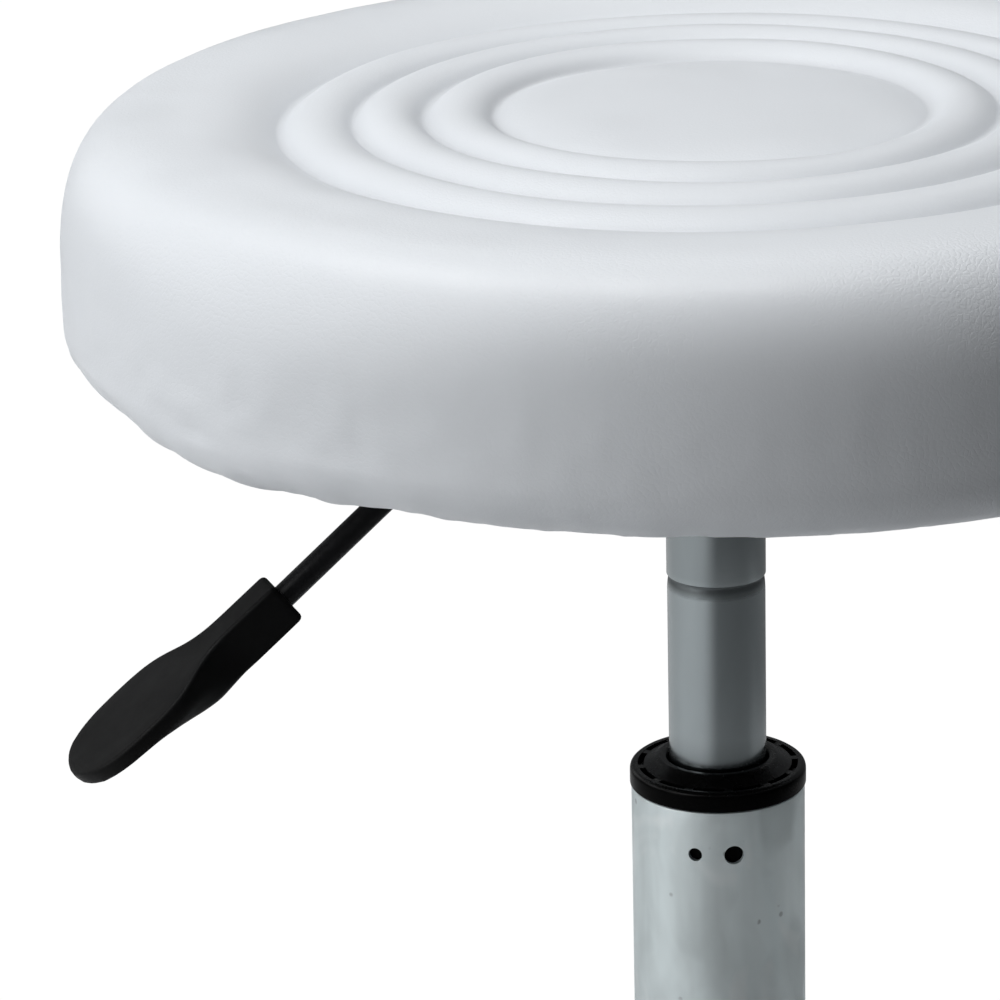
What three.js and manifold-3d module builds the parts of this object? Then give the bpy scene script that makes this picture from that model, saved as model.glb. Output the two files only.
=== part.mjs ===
// Pedicure stool: a round padded seat on a gas lift with a side lever, a five-star base and
// twin-wheel casters.
// Units are millimetres, +Z is up. The origin is on the floor under the column axis; -Y is the front.
import * as THREE from 'three';
import { mergeVertices } from 'three/addons/utils/BufferGeometryUtils.js';
import Module from 'manifold-3d';

const wasm = await Module();
wasm.setup();

// ---------------------------------------------------------------- driving dimensions
const DEG = Math.PI / 180;
const QUARTER_TURN = Math.PI / 2;
const GAP = 0.3; // clearance between neighbouring pieces

// sides of the round pieces
const SEAT_SIDES = 36;
const COLUMN_SIDES = 32;
const WHEEL_SIDES = 18; // puts one flat level with the floor
const INNER_SIDES = 18;
const BEARING_SIDES = 16;
const BOSS_SIDES = 12;
const SMALL_SIDES = 10;

// base and casters
const LEG_COUNT = 5;
const LEG_FIRST_ANGLE = -90; // leg 1 points to the front
const CASTER_REACH = 208; // stool axis to caster pivot
const CASTER_TRAIL = 22.5; // caster pivot to axle
const WHEEL_RADIUS = 25;
const HOOD_INNER_RADIUS = 27.5;
const HOOD_OUTER_RADIUS = 31;
const STEM_RADIUS = 5.5;
const STEM_HOLE_RADIUS = 6.1;
const HUB_RADIUS = 31;
const HUB_BOTTOM = 66;
const HUB_TOP = 130;
// the front leg tip reaches as far forward as the rear caster hoods reach back
const REAR_REACH = CASTER_REACH * Math.cos(Math.PI / LEG_COUNT) + CASTER_TRAIL + HOOD_OUTER_RADIUS;
const TIP_BOSS_RADIUS = REAR_REACH - CASTER_REACH;

// column
const TUBE_RADIUS = 25;
const TUBE_WALL = 1.5;
const TUBE_BOTTOM = 60;
const TUBE_FLOOR_TOP = 64;
const TUBE_TOP = 260;
const TUBE_TAPER = 0.9; // radius lost inside the hub
const CYLINDER_RADIUS = 14;
const CYLINDER_WALL = 1.5;
const CYLINDER_BOTTOM = 148;
const SOCKET_RADIUS = 19;
const SOCKET_BOTTOM = 343;
const SOCKET_TOP = 382.3;

// lever and handle
const LEVER_ANGLE = 22; // seat group turn that brings the lever to its rest side
const LEVER_RADIUS = 3.5;
const LEVER_Z = 371.8;
const LEVER_PIVOT_X = -30;
const LEVER_CORNER_X = -82.4;
const LEVER_SLOPE = 38.8;
const HANDLE_X = -128.4;
const HANDLE_Z = 334.9;
const HANDLE_LENGTH = 75.3;
const HANDLE_SLOPE = 38.2;
const HANDLE_TOP = 6.7; // flat thumb face above the handle's axis

// seat
const SEAT_RADIUS = 181;
const SEAT_BOTTOM = 386.5;
const SEAT_TOP = 462.4;
const SEAT_CENTRE_Z = 461; // the flat middle lies just below the crown
const COVER_THICKNESS = 1.2;
const BOARD_RADIUS = 163;
const BOARD_TOP = 400;
const PLATE_HALF = 75;
const PLATE_BOTTOM = 382.6;
const PLATE_THICKNESS = 2.4;
const PLATE_TOP = PLATE_BOTTOM + PLATE_THICKNESS;
const BOLT_OFFSET = 57; // plate bolts from the axis, in both X and Y

// ---------------------------------------------------------------- helpers
// one closed shell: shared points merged, empty triangles dropped, faces turned outwards
function tidy(source) {
  source.deleteAttribute('normal');
  source.deleteAttribute('uv');
  const merged = mergeVertices(source, 1e-4);
  const position = merged.attributes.position;
  const corners = merged.index.array;
  const corner = (index) => new THREE.Vector3().fromBufferAttribute(position, index);
  const faces = [];
  let volume = 0;
  for (let i = 0; i < corners.length; i += 3) {
    const [first, second, third] = corners.slice(i, i + 3);
    if (first === second || second === third || first === third) continue;
    faces.push([first, second, third]);
    volume += corner(first).dot(corner(second).cross(corner(third))) / 6;
  }
  if (volume < 0) faces.forEach((face) => face.reverse());
  const geometry = new THREE.BufferGeometry();
  geometry.setAttribute('position', position);
  geometry.setIndex(faces.flat());
  return geometry;
}

// revolve [radius, z] points about Z; the profile meets the axis at both ends or closes on itself
function lathe(profile, sides) {
  const points = profile.map(([radius, z]) => new THREE.Vector2(radius, z));
  if (profile[0][0] > 0) points.push(points[0].clone());
  return tidy(new THREE.LatheGeometry(points, sides).rotateX(QUARTER_TURN));
}

const ring = ({ inner, outer, bottom, top, sides }) =>
  lathe([[inner, bottom], [outer, bottom], [outer, top], [inner, top]], sides);
const disc = ({ radius, bottom, top, sides = SMALL_SIDES }) =>
  lathe([[0, bottom], [radius, bottom], [radius, top], [0, top]], sides);

// prisms with their outline in XY, XZ or YZ
function extrude(points, depth) {
  const outline = new THREE.Shape(points.map(([x, y]) => new THREE.Vector2(x, y)));
  return new THREE.ExtrudeGeometry(outline, { depth, bevelEnabled: false });
}
const prismZ = (points, from, to) => tidy(extrude(points, to - from).translate(0, 0, from));
const prismY = (points, from, to) =>
  tidy(extrude(points, to - from).rotateX(QUARTER_TURN).translate(0, to, 0));
const prismX = (points, from, to) =>
  tidy(extrude(points, to - from).rotateX(QUARTER_TURN).rotateZ(QUARTER_TURN).translate(from, 0, 0));
const rectangle = (x0, y0, x1, y1) => [[x0, y0], [x1, y0], [x1, y1], [x0, y1]];

// between three.js geometry and Manifold solids
const solid = (geometry) => new wasm.Manifold(new wasm.Mesh({
  numProp: 3,
  vertProperties: new Float32Array(geometry.attributes.position.array),
  triVerts: new Uint32Array(geometry.index.array),
}));
function shell(manifold) {
  const mesh = manifold.getMesh();
  const geometry = new THREE.BufferGeometry();
  geometry.setAttribute('position', new THREE.Float32BufferAttribute(mesh.vertProperties, 3));
  geometry.setIndex(new THREE.Uint32BufferAttribute(mesh.triVerts, 1));
  return geometry;
}
const union = (parts) => parts.map(solid).reduce((sum, part) => sum.add(part));
const subtract = (body, tools) => tools.map(solid).reduce((rest, tool) => rest.subtract(tool), body);
const join = (...parts) => shell(union(parts));
const cut = (part, ...tools) => shell(subtract(solid(part), tools));
const common = (one, other) => shell(solid(one).intersect(solid(other)));

function piece(parent, name, geometry, material) {
  const mesh = new THREE.Mesh(geometry, material);
  mesh.name = name;
  parent.add(mesh);
}

// ---------------------------------------------------------------- materials
const finish = (settings) => new THREE.MeshStandardMaterial(settings);
const chrome = finish({ color: 0xb9bbbe, roughness: 0.28, metalness: 1 });
const alloy = finish({ color: 0xc4c6c8, roughness: 0.25, metalness: 1 });
const steel = finish({ color: 0x9a9c9e, roughness: 0.4, metalness: 1 });
const zinc = finish({ color: 0xb8b6ae, roughness: 0.45, metalness: 1 });
const painted = finish({ color: 0x1c1c1e, roughness: 0.5, metalness: 0.4 });
const plastic = finish({ color: 0x121214, roughness: 0.45, metalness: 0 });
const tyre = finish({ color: 0x2a2a2c, roughness: 0.55, metalness: 0 });
const rubber = finish({ color: 0x1a1a1a, roughness: 0.8, metalness: 0 });
const leather = finish({ color: 0xe6e7ea, roughness: 0.5, metalness: 0 });
const foam = finish({ color: 0xe8d9a8, roughness: 0.9, metalness: 0 });
const plywood = finish({ color: 0xc9a876, roughness: 0.75, metalness: 0 });
const fleece = finish({ color: 0x17171a, roughness: 0.95, metalness: 0 });
const brass = finish({ color: 0xb59a5b, roughness: 0.4, metalness: 1 });

const stool = new THREE.Group();
const base = new THREE.Group();
const seat = new THREE.Group();
seat.rotation.z = LEVER_ANGLE * DEG;
stool.add(base, seat);

// ---------------------------------------------------------------- star base
const legAngles = Array.from({ length: LEG_COUNT }, (_, i) =>
  (LEG_FIRST_ANGLE + (360 / LEG_COUNT) * i) * DEG);
const casterPlaces = legAngles.map((angle) =>
  [CASTER_REACH * Math.cos(angle), CASTER_REACH * Math.sin(angle), 0]);
const onEveryLeg = (...parts) =>
  legAngles.flatMap((angle) => parts.map((part) => part.clone().rotateZ(angle)));

const tubeRadius = (z) =>
  TUBE_RADIUS - TUBE_TAPER * THREE.MathUtils.clamp((HUB_TOP - z) / (HUB_TOP - TUBE_BOTTOM), 0, 1);

// one arm along +X: side outline [x, z] cropped by plan outline [x, y]
function legArm() {
  const side = [
    [26, 122], [26, 74], [100, 66.5], [CASTER_REACH, 61],
    [CASTER_REACH, 92.3], [150, 99], [75, 114],
  ];
  const plan = [
    [26, -19], [110, -15], [CASTER_REACH, -12.9],
    [CASTER_REACH, 12.9], [110, 15], [26, 19],
  ];
  return common(prismY(side, -25, 25), prismZ(plan, 40, 140));
}

// hollow that opens the arm underneath and leaves walls of about 4 mm
function legChannel() {
  const side = [[38, 40], [190, 40], [190, 89.8], [150, 94.6], [75, 109.4], [38, 114.6]];
  const plan = [[37, -14.2], [110, -11], [191, -9.4], [191, 9.4], [110, 11], [37, 14.2]];
  return common(prismY(side, -25, 25), prismZ(plan, 30, 140));
}

function starBase() {
  const hub = lathe([
    [0, HUB_BOTTOM], [HUB_RADIUS - 1.5, HUB_BOTTOM], [HUB_RADIUS, HUB_BOTTOM + 1.5],
    [HUB_RADIUS, HUB_TOP - 3], [HUB_RADIUS - 3, HUB_TOP], [0, HUB_TOP],
  ], COLUMN_SIDES);
  const tipBoss = lathe([
    [0, 60.5], [TIP_BOSS_RADIUS, 60.5], [TIP_BOSS_RADIUS, 90], [TIP_BOSS_RADIUS - 2, 92.5],
    [0, 92.5],
  ], BOSS_SIDES).translate(CASTER_REACH, 0, 0);
  const stemHole = disc({ radius: STEM_HOLE_RADIUS, bottom: 55, top: 86 })
    .translate(CASTER_REACH, 0, 0);
  const clearance = 0.35;
  const bore = lathe([
    [0, 40], [tubeRadius(40) + clearance, 40],
    [tubeRadius(TUBE_BOTTOM) + clearance, TUBE_BOTTOM], [TUBE_RADIUS + clearance, HUB_TOP],
    [TUBE_RADIUS + clearance, 150], [0, 150],
  ], COLUMN_SIDES);
  const body = union([hub, ...onEveryLeg(legArm(), tipBoss)]);
  return shell(subtract(body, [...onEveryLeg(stemHole, legChannel()), bore]));
}
piece(base, 'star_base', starBase(), alloy);

// caster stem with a collar under the leg tip
const casterStem = () => lathe([
  [0, 47], [STEM_RADIUS, 47], [STEM_RADIUS, 58.2], [8.5, 58.2], [8.5, 59.9],
  [STEM_RADIUS, 59.9], [STEM_RADIUS, 84], [0, 84],
], SMALL_SIDES);
casterPlaces.forEach((place, i) => {
  piece(base, `caster_stem_${i + 1}`, casterStem().translate(...place), steel);
});

// ---------------------------------------------------------------- casters, all trailing to the rear
const HOOD_HALF_WIDTH = 18;
const HOOD_ANGLES = [-5, 0, 28, 56, 84, 112, 140, 164, 185];
const WEB_LOWER_ANGLES = [200, 235, 270, 305, 340];
const WHEEL_INNER_FACE = 5; // wheel faces from the caster's middle plane
const WHEEL_OUTER_FACE = 22;
const WHEEL_BORE_RADIUS = 3.45;
const WHEEL_BORE_END = 20;

// [y, z] points round the axle, angles in degrees from the rear
const axleArc = (radius, angles) => angles.map((angle) => [
  CASTER_TRAIL + radius * Math.cos(angle * DEG),
  WHEEL_RADIUS + radius * Math.sin(angle * DEG),
]);
const axleRod = (radius, halfLength) =>
  disc({ radius, bottom: -halfLength, top: halfLength })
    .rotateY(QUARTER_TURN).translate(0, CASTER_TRAIL, WHEEL_RADIUS);

function casterBody() {
  const hood = prismX([
    ...axleArc(HOOD_OUTER_RADIUS, HOOD_ANGLES),
    ...axleArc(HOOD_INNER_RADIUS, HOOD_ANGLES).reverse(),
  ], -HOOD_HALF_WIDTH, HOOD_HALF_WIDTH);
  const web = prismX([...axleArc(29, HOOD_ANGLES), ...axleArc(13, WEB_LOWER_ANGLES)], -4, 4);
  const boss = disc({ radius: 8.5, bottom: 46.5, top: 57.8, sides: BOSS_SIDES });
  const stemBore = disc({ radius: STEM_HOLE_RADIUS, bottom: 44, top: 70, sides: BOSS_SIDES });
  return cut(join(hood, web, boss), stemBore, axleRod(3.35, 10));
}

// side is 1 for the +X wheel and -1 for the -X wheel
function wheel(side) {
  // flats at the true wheel radius, one of them level with the floor
  const cornerRadius = WHEEL_RADIUS / Math.cos(Math.PI / WHEEL_SIDES);
  return lathe([
    [WHEEL_BORE_RADIUS, WHEEL_INNER_FACE], [cornerRadius, WHEEL_INNER_FACE],
    [cornerRadius, WHEEL_OUTER_FACE - 3], [cornerRadius - 4, WHEEL_OUTER_FACE],
    [0, WHEEL_OUTER_FACE], [0, WHEEL_BORE_END], [WHEEL_BORE_RADIUS, WHEEL_BORE_END],
  ], WHEEL_SIDES).rotateY(side * QUARTER_TURN).translate(0, CASTER_TRAIL, WHEEL_RADIUS);
}

casterPlaces.forEach((place, i) => {
  const caster = new THREE.Group();
  caster.position.set(...place);
  base.add(caster);
  piece(caster, `caster_body_${i + 1}`, casterBody(), plastic);
  piece(caster, `caster_axle_${i + 1}`, axleRod(3, 19.5), steel);
  piece(caster, `wheel_${i + 1}_right`, wheel(1), tyre);
  piece(caster, `wheel_${i + 1}_left`, wheel(-1), tyre);
});

// ---------------------------------------------------------------- outer tube and guide bush
function outerTube() {
  const innerRadius = TUBE_RADIUS - TUBE_WALL;
  const floorHole = 5.5;
  const tube = lathe([
    [floorHole, TUBE_BOTTOM], [tubeRadius(TUBE_BOTTOM), TUBE_BOTTOM], [TUBE_RADIUS, HUB_TOP],
    [TUBE_RADIUS, TUBE_TOP], [innerRadius, TUBE_TOP], [innerRadius, HUB_TOP],
    [tubeRadius(TUBE_FLOOR_TOP) - TUBE_WALL, TUBE_FLOOR_TOP], [floorHole, TUBE_FLOOR_TOP],
  ], COLUMN_SIDES);
  // two holes in the front wall just under the bush's cap
  const punch = (radius, angle) => disc({ radius, bottom: 20, top: 30, sides: 12 })
    .rotateX(QUARTER_TURN).rotateZ(angle * DEG).translate(0, 0, TUBE_TOP - 13);
  return cut(tube, punch(2.8, 10.2), punch(2.0, -15.5));
}

function guideBush() {
  const bore = 14.45;
  const capRadius = 25.4;
  const capBottom = TUBE_TOP + GAP;
  return lathe([
    [bore, 190], [23.1, 190], [23.1, capBottom], [capRadius, capBottom], [capRadius, 265],
    [capRadius - 1, 266], [21.7, 266], [21.5, 264.5], [18.2, 264.5], [18, 266], [17.4, 268],
    [16.9, 268.5], [bore, 268.5],
  ], COLUMN_SIDES);
}
piece(base, 'outer_tube', outerTube(), chrome);
piece(base, 'guide_bush', guideBush(), plastic);

// ---------------------------------------------------------------- thrust bearing and retainers
const WASHER_THICKNESS = 2;
const CAGE_HEIGHT = 3.6;
const LOWER_WASHER_Z = TUBE_FLOOR_TOP + GAP;
const CAGE_Z = LOWER_WASHER_Z + WASHER_THICKNESS + GAP;
const UPPER_WASHER_Z = CAGE_Z + CAGE_HEIGHT + GAP;

const bearingRing = (inner, outer, bottom, height) =>
  ring({ inner, outer, bottom, top: bottom + height, sides: BEARING_SIDES });
const rubberBumper = () =>
  lathe([[5.5, 73], [11, 73], [11.5, 75], [10, 83], [5.5, 83]], BEARING_SIDES);

piece(base, 'bearing_washer_lower', bearingRing(5.6, 12, LOWER_WASHER_Z, WASHER_THICKNESS), steel);
piece(base, 'ball_cage', bearingRing(6, 11.6, CAGE_Z, CAGE_HEIGHT), brass);
piece(base, 'bearing_washer_upper', bearingRing(5.4, 12, UPPER_WASHER_Z, WASHER_THICKNESS), steel);
piece(base, 'rubber_bumper', rubberBumper(), rubber);
piece(base, 'clip_washer', bearingRing(5.6, 12.5, 57.3, 1.5), zinc);
piece(base, 'retaining_clip', bearingRing(4.6, 8, 55.5, 1.3), steel);

// ---------------------------------------------------------------- piston, carried by the thrust bearing
const ROD_RADIUS = 5;
const pistonRod = () => lathe([
  [0, 50], [ROD_RADIUS, 50], [ROD_RADIUS, 55.1], [4.2, 55.1], [4.2, 57.2], [ROD_RADIUS, 57.2],
  [ROD_RADIUS, 211.5], [0, 211.5],
], BEARING_SIDES);
const pistonHead = () => lathe([
  [5.4, 206], [9.9, 206], [9.9, 216], [0, 216], [0, 211.9], [5.4, 211.9],
], INNER_SIDES);
piece(base, 'piston_rod', pistonRod(), chrome);
piece(base, 'piston_head', pistonHead(), steel);

// ---------------------------------------------------------------- gas spring: slides on the piston, turns with the seat
function gasCylinder() {
  const innerRadius = CYLINDER_RADIUS - CYLINDER_WALL;
  const floorTop = CYLINDER_BOTTOM + 1.7;
  const grooveZ = 322.4;
  return lathe([
    [6.5, CYLINDER_BOTTOM], [12.8, CYLINDER_BOTTOM], [CYLINDER_RADIUS, CYLINDER_BOTTOM + 1.2],
    [CYLINDER_RADIUS, 320.6], [13.1, grooveZ], [14.15, 324.2], [14.15, SOCKET_BOTTOM],
    [13.45, 359], [12, 359], [12, 324.6], [11.65, grooveZ],
    [innerRadius, 320], [innerRadius, floorTop], [6.5, floorTop],
  ], COLUMN_SIDES);
}
const rodGuide = () =>
  ring({ inner: 5.4, outer: 12.1, bottom: 150.2, top: 165.5, sides: INNER_SIDES });
const pressureTube = () =>
  ring({ inner: 10.3, outer: 11.2, bottom: 166, top: 321, sides: INNER_SIDES });
const valveBody = () =>
  lathe([[3.45, 322], [11.2, 322], [11.2, 356.5], [9.5, 358], [3.45, 358]], INNER_SIDES);
const releasePin = () => lathe([
  [0, 345], [3, 345], [3, 364.5], [4.2, 364.5], [4.2, 366.6], [2, 367.7], [0, 368],
], 12);
piece(seat, 'gas_cylinder', gasCylinder(), steel);
piece(seat, 'rod_guide', rodGuide(), plastic);
piece(seat, 'pressure_tube', pressureTube(), steel);
piece(seat, 'valve_body', valveBody(), brass);
piece(seat, 'release_pin', releasePin(), steel);

// ---------------------------------------------------------------- socket and seat plate
const boltPlaces = [[1, 1], [-1, 1], [-1, -1], [1, -1]]
  .map(([x, y]) => [x * BOLT_OFFSET, y * BOLT_OFFSET, 0]);
const boltHoles = (radius, bottom, top) =>
  boltPlaces.map((place) => disc({ radius, bottom, top }).translate(...place));

function taperSocket() {
  const socket = lathe([
    [14.45, SOCKET_BOTTOM], [SOCKET_RADIUS - 1, SOCKET_BOTTOM], [SOCKET_RADIUS, SOCKET_BOTTOM + 1],
    [SOCKET_RADIUS, SOCKET_TOP], [14.2, SOCKET_TOP], [14.2, 361], [13.8, 359.4],
  ], COLUMN_SIDES);
  const leverSlot = prismY(rectangle(-30, 364.5, -5, 390), -4.25, 4.25);
  return cut(socket, leverSlot);
}

// square plate with a lip turned down along its front and rear edges
function seatPlate() {
  const square = rectangle(-PLATE_HALF, -PLATE_HALF, PLATE_HALF, PLATE_HALF);
  const flat = prismZ(square, PLATE_BOTTOM, PLATE_TOP);
  const lip = (y0, y1) => prismX(rectangle(y0, 374.5, y1, PLATE_TOP), -PLATE_HALF, PLATE_HALF);
  const frontLip = lip(-PLATE_HALF, -PLATE_HALF + PLATE_THICKNESS);
  const rearLip = lip(PLATE_HALF - PLATE_THICKNESS, PLATE_HALF);
  return cut(join(flat, frontLip, rearLip), ...boltHoles(3.4, 370, 390));
}
piece(seat, 'taper_socket', taperSocket(), painted);
piece(seat, 'seat_plate', seatPlate(), painted);

// ---------------------------------------------------------------- lever, reaching out along -X
const BRACKET_INNER_Y = 6.5;
const BRACKET_OUTER_Y = 8.5;
const BRACKET_TOP = 382.3;

const toPivot = (part) => part.rotateX(QUARTER_TURN).translate(LEVER_PIVOT_X, 0, LEVER_Z);
const pivotHole = () => toPivot(disc({ radius: 2.1, bottom: -15, top: 15 }));

function leverBracket() {
  // [x, z] outline of a cheek
  const side = [
    [-40, BRACKET_TOP], [-40, 372], [-36, 365], [-24, 365], [-21, 369], [-21, BRACKET_TOP],
  ];
  const web = prismY(rectangle(-40, 380.3, -21, BRACKET_TOP), -BRACKET_OUTER_Y, BRACKET_OUTER_Y);
  return cut(join(
    prismY(side, -BRACKET_OUTER_Y, -BRACKET_INNER_Y),
    prismY(side, BRACKET_INNER_Y, BRACKET_OUTER_Y),
    web), pivotHole());
}

const leverPivotPin = () => toPivot(lathe([
  [0, -11], [3, -11], [3, -8.9], [1.75, -8.9], [1.75, 8.9], [2.6, 8.9], [2.6, 10], [0, 10],
], SMALL_SIDES));

// bent rod: level through the bracket, then down into the handle
function leverRod() {
  const slope = LEVER_SLOPE * DEG;
  const down = new THREE.Vector3(-Math.cos(slope), 0, -Math.sin(slope));
  const bendLength = 9; // bend start and end from the corner
  const corner = new THREE.Vector3(LEVER_CORNER_X, 0, LEVER_Z);
  const start = new THREE.Vector3(6, 0, LEVER_Z);
  const bendStart = corner.clone().add(new THREE.Vector3(bendLength, 0, 0));
  const bendEnd = corner.clone().addScaledVector(down, bendLength);
  const end = new THREE.Vector3(HANDLE_X, 0, HANDLE_Z).addScaledVector(down, 18.5);
  const path = new THREE.CurvePath();
  path.add(new THREE.LineCurve3(start, bendStart));
  path.add(new THREE.QuadraticBezierCurve3(bendStart, corner, bendEnd));
  path.add(new THREE.LineCurve3(bendEnd, end));
  const section = new THREE.Shape(Array.from({ length: SMALL_SIDES }, (_, i) => {
    const angle = (2 * Math.PI * i) / SMALL_SIDES;
    return new THREE.Vector2(LEVER_RADIUS * Math.cos(angle), LEVER_RADIUS * Math.sin(angle));
  }));
  const settings = { steps: 15, extrudePath: path, bevelEnabled: false };
  return cut(tidy(new THREE.ExtrudeGeometry(section, settings)), pivotHole());
}

// handle: narrow collar that opens into a flat paddle
function leverHandle() {
  // [distance along the handle, half width]
  const halfWidths = [
    [0, 4.9], [1, 5.7], [19, 5.7], [24, 6.6], [29, 8.8], [34, 12.2], [38, 14.4], [43, 16.1],
    [50, 16.5], [60, 16.3], [65, 15], [69.5, 12.1], [73, 7.6], [HANDLE_LENGTH, 2.5],
  ];
  const plan = [
    ...halfWidths.map(([along, width]) => [along, -width]),
    ...halfWidths.slice().reverse(),
  ];
  // [distance along the handle, height above its axis]
  const side = [
    [0, HANDLE_TOP - 0.4], [0.6, HANDLE_TOP], [74, HANDLE_TOP], [HANDLE_LENGTH, 5.4],
    [HANDLE_LENGTH, 2.8], [73.6, 1.5], [55, 1.4], [50, 1], [45, -1.2], [40, -3.8],
    [35, -5.7], [29, -6.5], [0.8, -6.3], [0, -5.6],
  ];
  // turned to run down the slope with the flat face on top
  const paddle = common(prismZ(plan, -10, 10), prismY(side, -20, 20))
    .rotateZ(Math.PI).rotateY(-HANDLE_SLOPE * DEG).translate(HANDLE_X, 0, HANDLE_Z);
  const rodBore = disc({ radius: 3.9, bottom: -4, top: 19.5 })
    .rotateY(-(90 + LEVER_SLOPE) * DEG).translate(HANDLE_X, 0, HANDLE_Z);
  return cut(paddle, rodBore);
}
piece(seat, 'lever_bracket', leverBracket(), painted);
piece(seat, 'lever_pivot_pin', leverPivotPin(), zinc);
piece(seat, 'lever_rod', leverRod(), painted);
piece(seat, 'lever_handle', leverHandle(), plastic);

// ---------------------------------------------------------------- plate bolts and tee nuts
const plateBolt = () => lathe([
  [0, 378.2], [5.6, 378.2], [5.6, 382.2], [3, 382.2], [3, 398], [0, 398],
], SMALL_SIDES);
const teeNut = () => lathe([
  [3.35, 390.5], [4.2, 390.5], [4.2, BOARD_TOP + GAP], [9.5, BOARD_TOP + GAP],
  [9.5, 401.5], [3.35, 401.5],
], SMALL_SIDES);
boltPlaces.forEach((place, i) => {
  piece(seat, `plate_bolt_${i + 1}`, plateBolt().translate(...place), zinc);
  piece(seat, `tee_nut_${i + 1}`, teeNut().translate(...place), zinc);
});

// ---------------------------------------------------------------- seat: board, dust cover, cover and foam
// the seat's edge is two superelliptic quarters, one crowned and one tucked under
const CROWN = { startRadius: 146, height: 51.3, exponent: 3.33, steps: 5 };
const TUCK = { width: 45.9, height: 20.7, exponent: 2.04, steps: 4 };
const HEM_RADIUS = 128;
const CENTRE_RADIUS = 124;

function seatBoard() {
  const board = lathe([
    [0, 388.4], [141, 388.4], [152, 390.2], [BOARD_RADIUS, 393.2], [BOARD_RADIUS, BOARD_TOP],
    [0, BOARD_TOP],
  ], SEAT_SIDES);
  return cut(board, ...boltHoles(4.55, 380, 410));
}

const dustCover = () => cut(
  disc({ radius: 150, bottom: 385.3, top: 386.1, sides: SEAT_SIDES }),
  ...boltHoles(3.5, 380, 390));

// points from sine 1, cosine 0 to sine 0, cosine 1, both raised to the superellipse's power
function quarter({ steps, exponent }, pointAt) {
  const raise = (value) => Math.pow(Math.max(0, value), 2 / exponent);
  return Array.from({ length: steps + 1 }, (_, i) => {
    const angle = QUARTER_TURN * (1 - i / steps);
    return pointAt(raise(Math.sin(angle)), raise(Math.cos(angle)));
  });
}

// [radius, z] from the underside round the edge to the axis on top, set in from the outside
function seatSide(inset, startRadius) {
  const tuck = quarter(TUCK, (sine, cosine) => [
    SEAT_RADIUS - TUCK.width + (TUCK.width - inset) * cosine,
    SEAT_BOTTOM + TUCK.height - (TUCK.height - inset) * sine,
  ]);
  const crown = quarter(CROWN, (sine, cosine) => [
    CROWN.startRadius + (SEAT_RADIUS - CROWN.startRadius - inset) * sine,
    SEAT_TOP - CROWN.height + (CROWN.height - inset) * cosine,
  ]);
  return [
    [startRadius, SEAT_BOTTOM + inset], ...tuck, ...crown,
    [CENTRE_RADIUS, SEAT_CENTRE_Z - inset], [0, SEAT_CENTRE_Z - inset],
  ];
}

// one open loop from the axis inside, round the tucked hem, to the axis outside
const seatCover = () => lathe([
  ...seatSide(COVER_THICKNESS, HEM_RADIUS).reverse(),
  ...seatSide(0, HEM_RADIUS),
], SEAT_SIDES);

function seatFoam() {
  const pad = lathe(seatSide(COVER_THICKNESS + 0.6, 0), SEAT_SIDES);
  const boardRoom = disc({
    radius: BOARD_RADIUS + 0.5, bottom: 380, top: BOARD_TOP + GAP, sides: SEAT_SIDES,
  });
  return cut(pad, boardRoom, ...boltHoles(9.9, 399, 401.8));
}
piece(seat, 'seat_board', seatBoard(), plywood);
piece(seat, 'dust_cover', dustCover(), fleece);
piece(seat, 'seat_cover', seatCover(), leather);
piece(seat, 'seat_foam', seatFoam(), foam);

export default stool;
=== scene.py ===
"""Pedicure stool: a round white cushion on a gas column with a five-legged star base on casters.

Z is up and the column stands on the Z axis, with the floor at z = 0. The camera looks from -Y
(the front) towards +Y, so -X is left. The seat group is turned about Z by TURN, which swings the
height lever from -X a little towards the front. Sizes are in millimetres unless a comment says
otherwise; obj_from turns them into metres.
"""
import math
import random
import bpy
import bmesh
import numpy as np
from mathutils import Matrix, Vector

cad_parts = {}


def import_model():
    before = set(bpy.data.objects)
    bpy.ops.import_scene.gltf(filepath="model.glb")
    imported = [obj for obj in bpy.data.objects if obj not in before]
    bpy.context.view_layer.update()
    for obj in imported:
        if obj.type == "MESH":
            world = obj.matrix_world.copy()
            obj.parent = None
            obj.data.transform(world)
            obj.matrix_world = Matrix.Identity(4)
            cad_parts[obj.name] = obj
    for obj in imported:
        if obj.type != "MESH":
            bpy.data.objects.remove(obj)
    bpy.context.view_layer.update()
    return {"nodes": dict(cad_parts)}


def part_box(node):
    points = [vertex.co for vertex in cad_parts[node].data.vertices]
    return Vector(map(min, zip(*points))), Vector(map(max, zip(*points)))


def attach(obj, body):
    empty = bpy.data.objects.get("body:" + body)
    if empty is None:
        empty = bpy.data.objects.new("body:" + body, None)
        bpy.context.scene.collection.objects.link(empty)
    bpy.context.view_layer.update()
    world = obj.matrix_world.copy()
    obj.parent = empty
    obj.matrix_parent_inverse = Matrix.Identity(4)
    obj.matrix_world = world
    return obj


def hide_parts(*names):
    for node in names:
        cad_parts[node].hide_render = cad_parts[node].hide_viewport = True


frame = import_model()
scene = bpy.context.scene
scene.view_settings.view_transform = "Standard"
scene.view_settings.look = "None"

MM = 0.001
TURN = math.radians(22.0)                      # the seat group's turn at rest

# heights read from the frame
TUBE_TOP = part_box("outer_tube")[1].z / MM
SEAT_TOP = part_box("seat_cover")[1].z / MM
SEAT_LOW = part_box("seat_cover")[0].z / MM


# ------------------------------------------------------------------ objects
def new_object(name, data):
    made = bpy.data.objects.new(name, data)
    scene.collection.objects.link(made)
    return made


def remove(part):
    """Delete an object and its mesh."""
    mesh = part.data
    bpy.data.objects.remove(part)
    bpy.data.meshes.remove(mesh)


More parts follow.
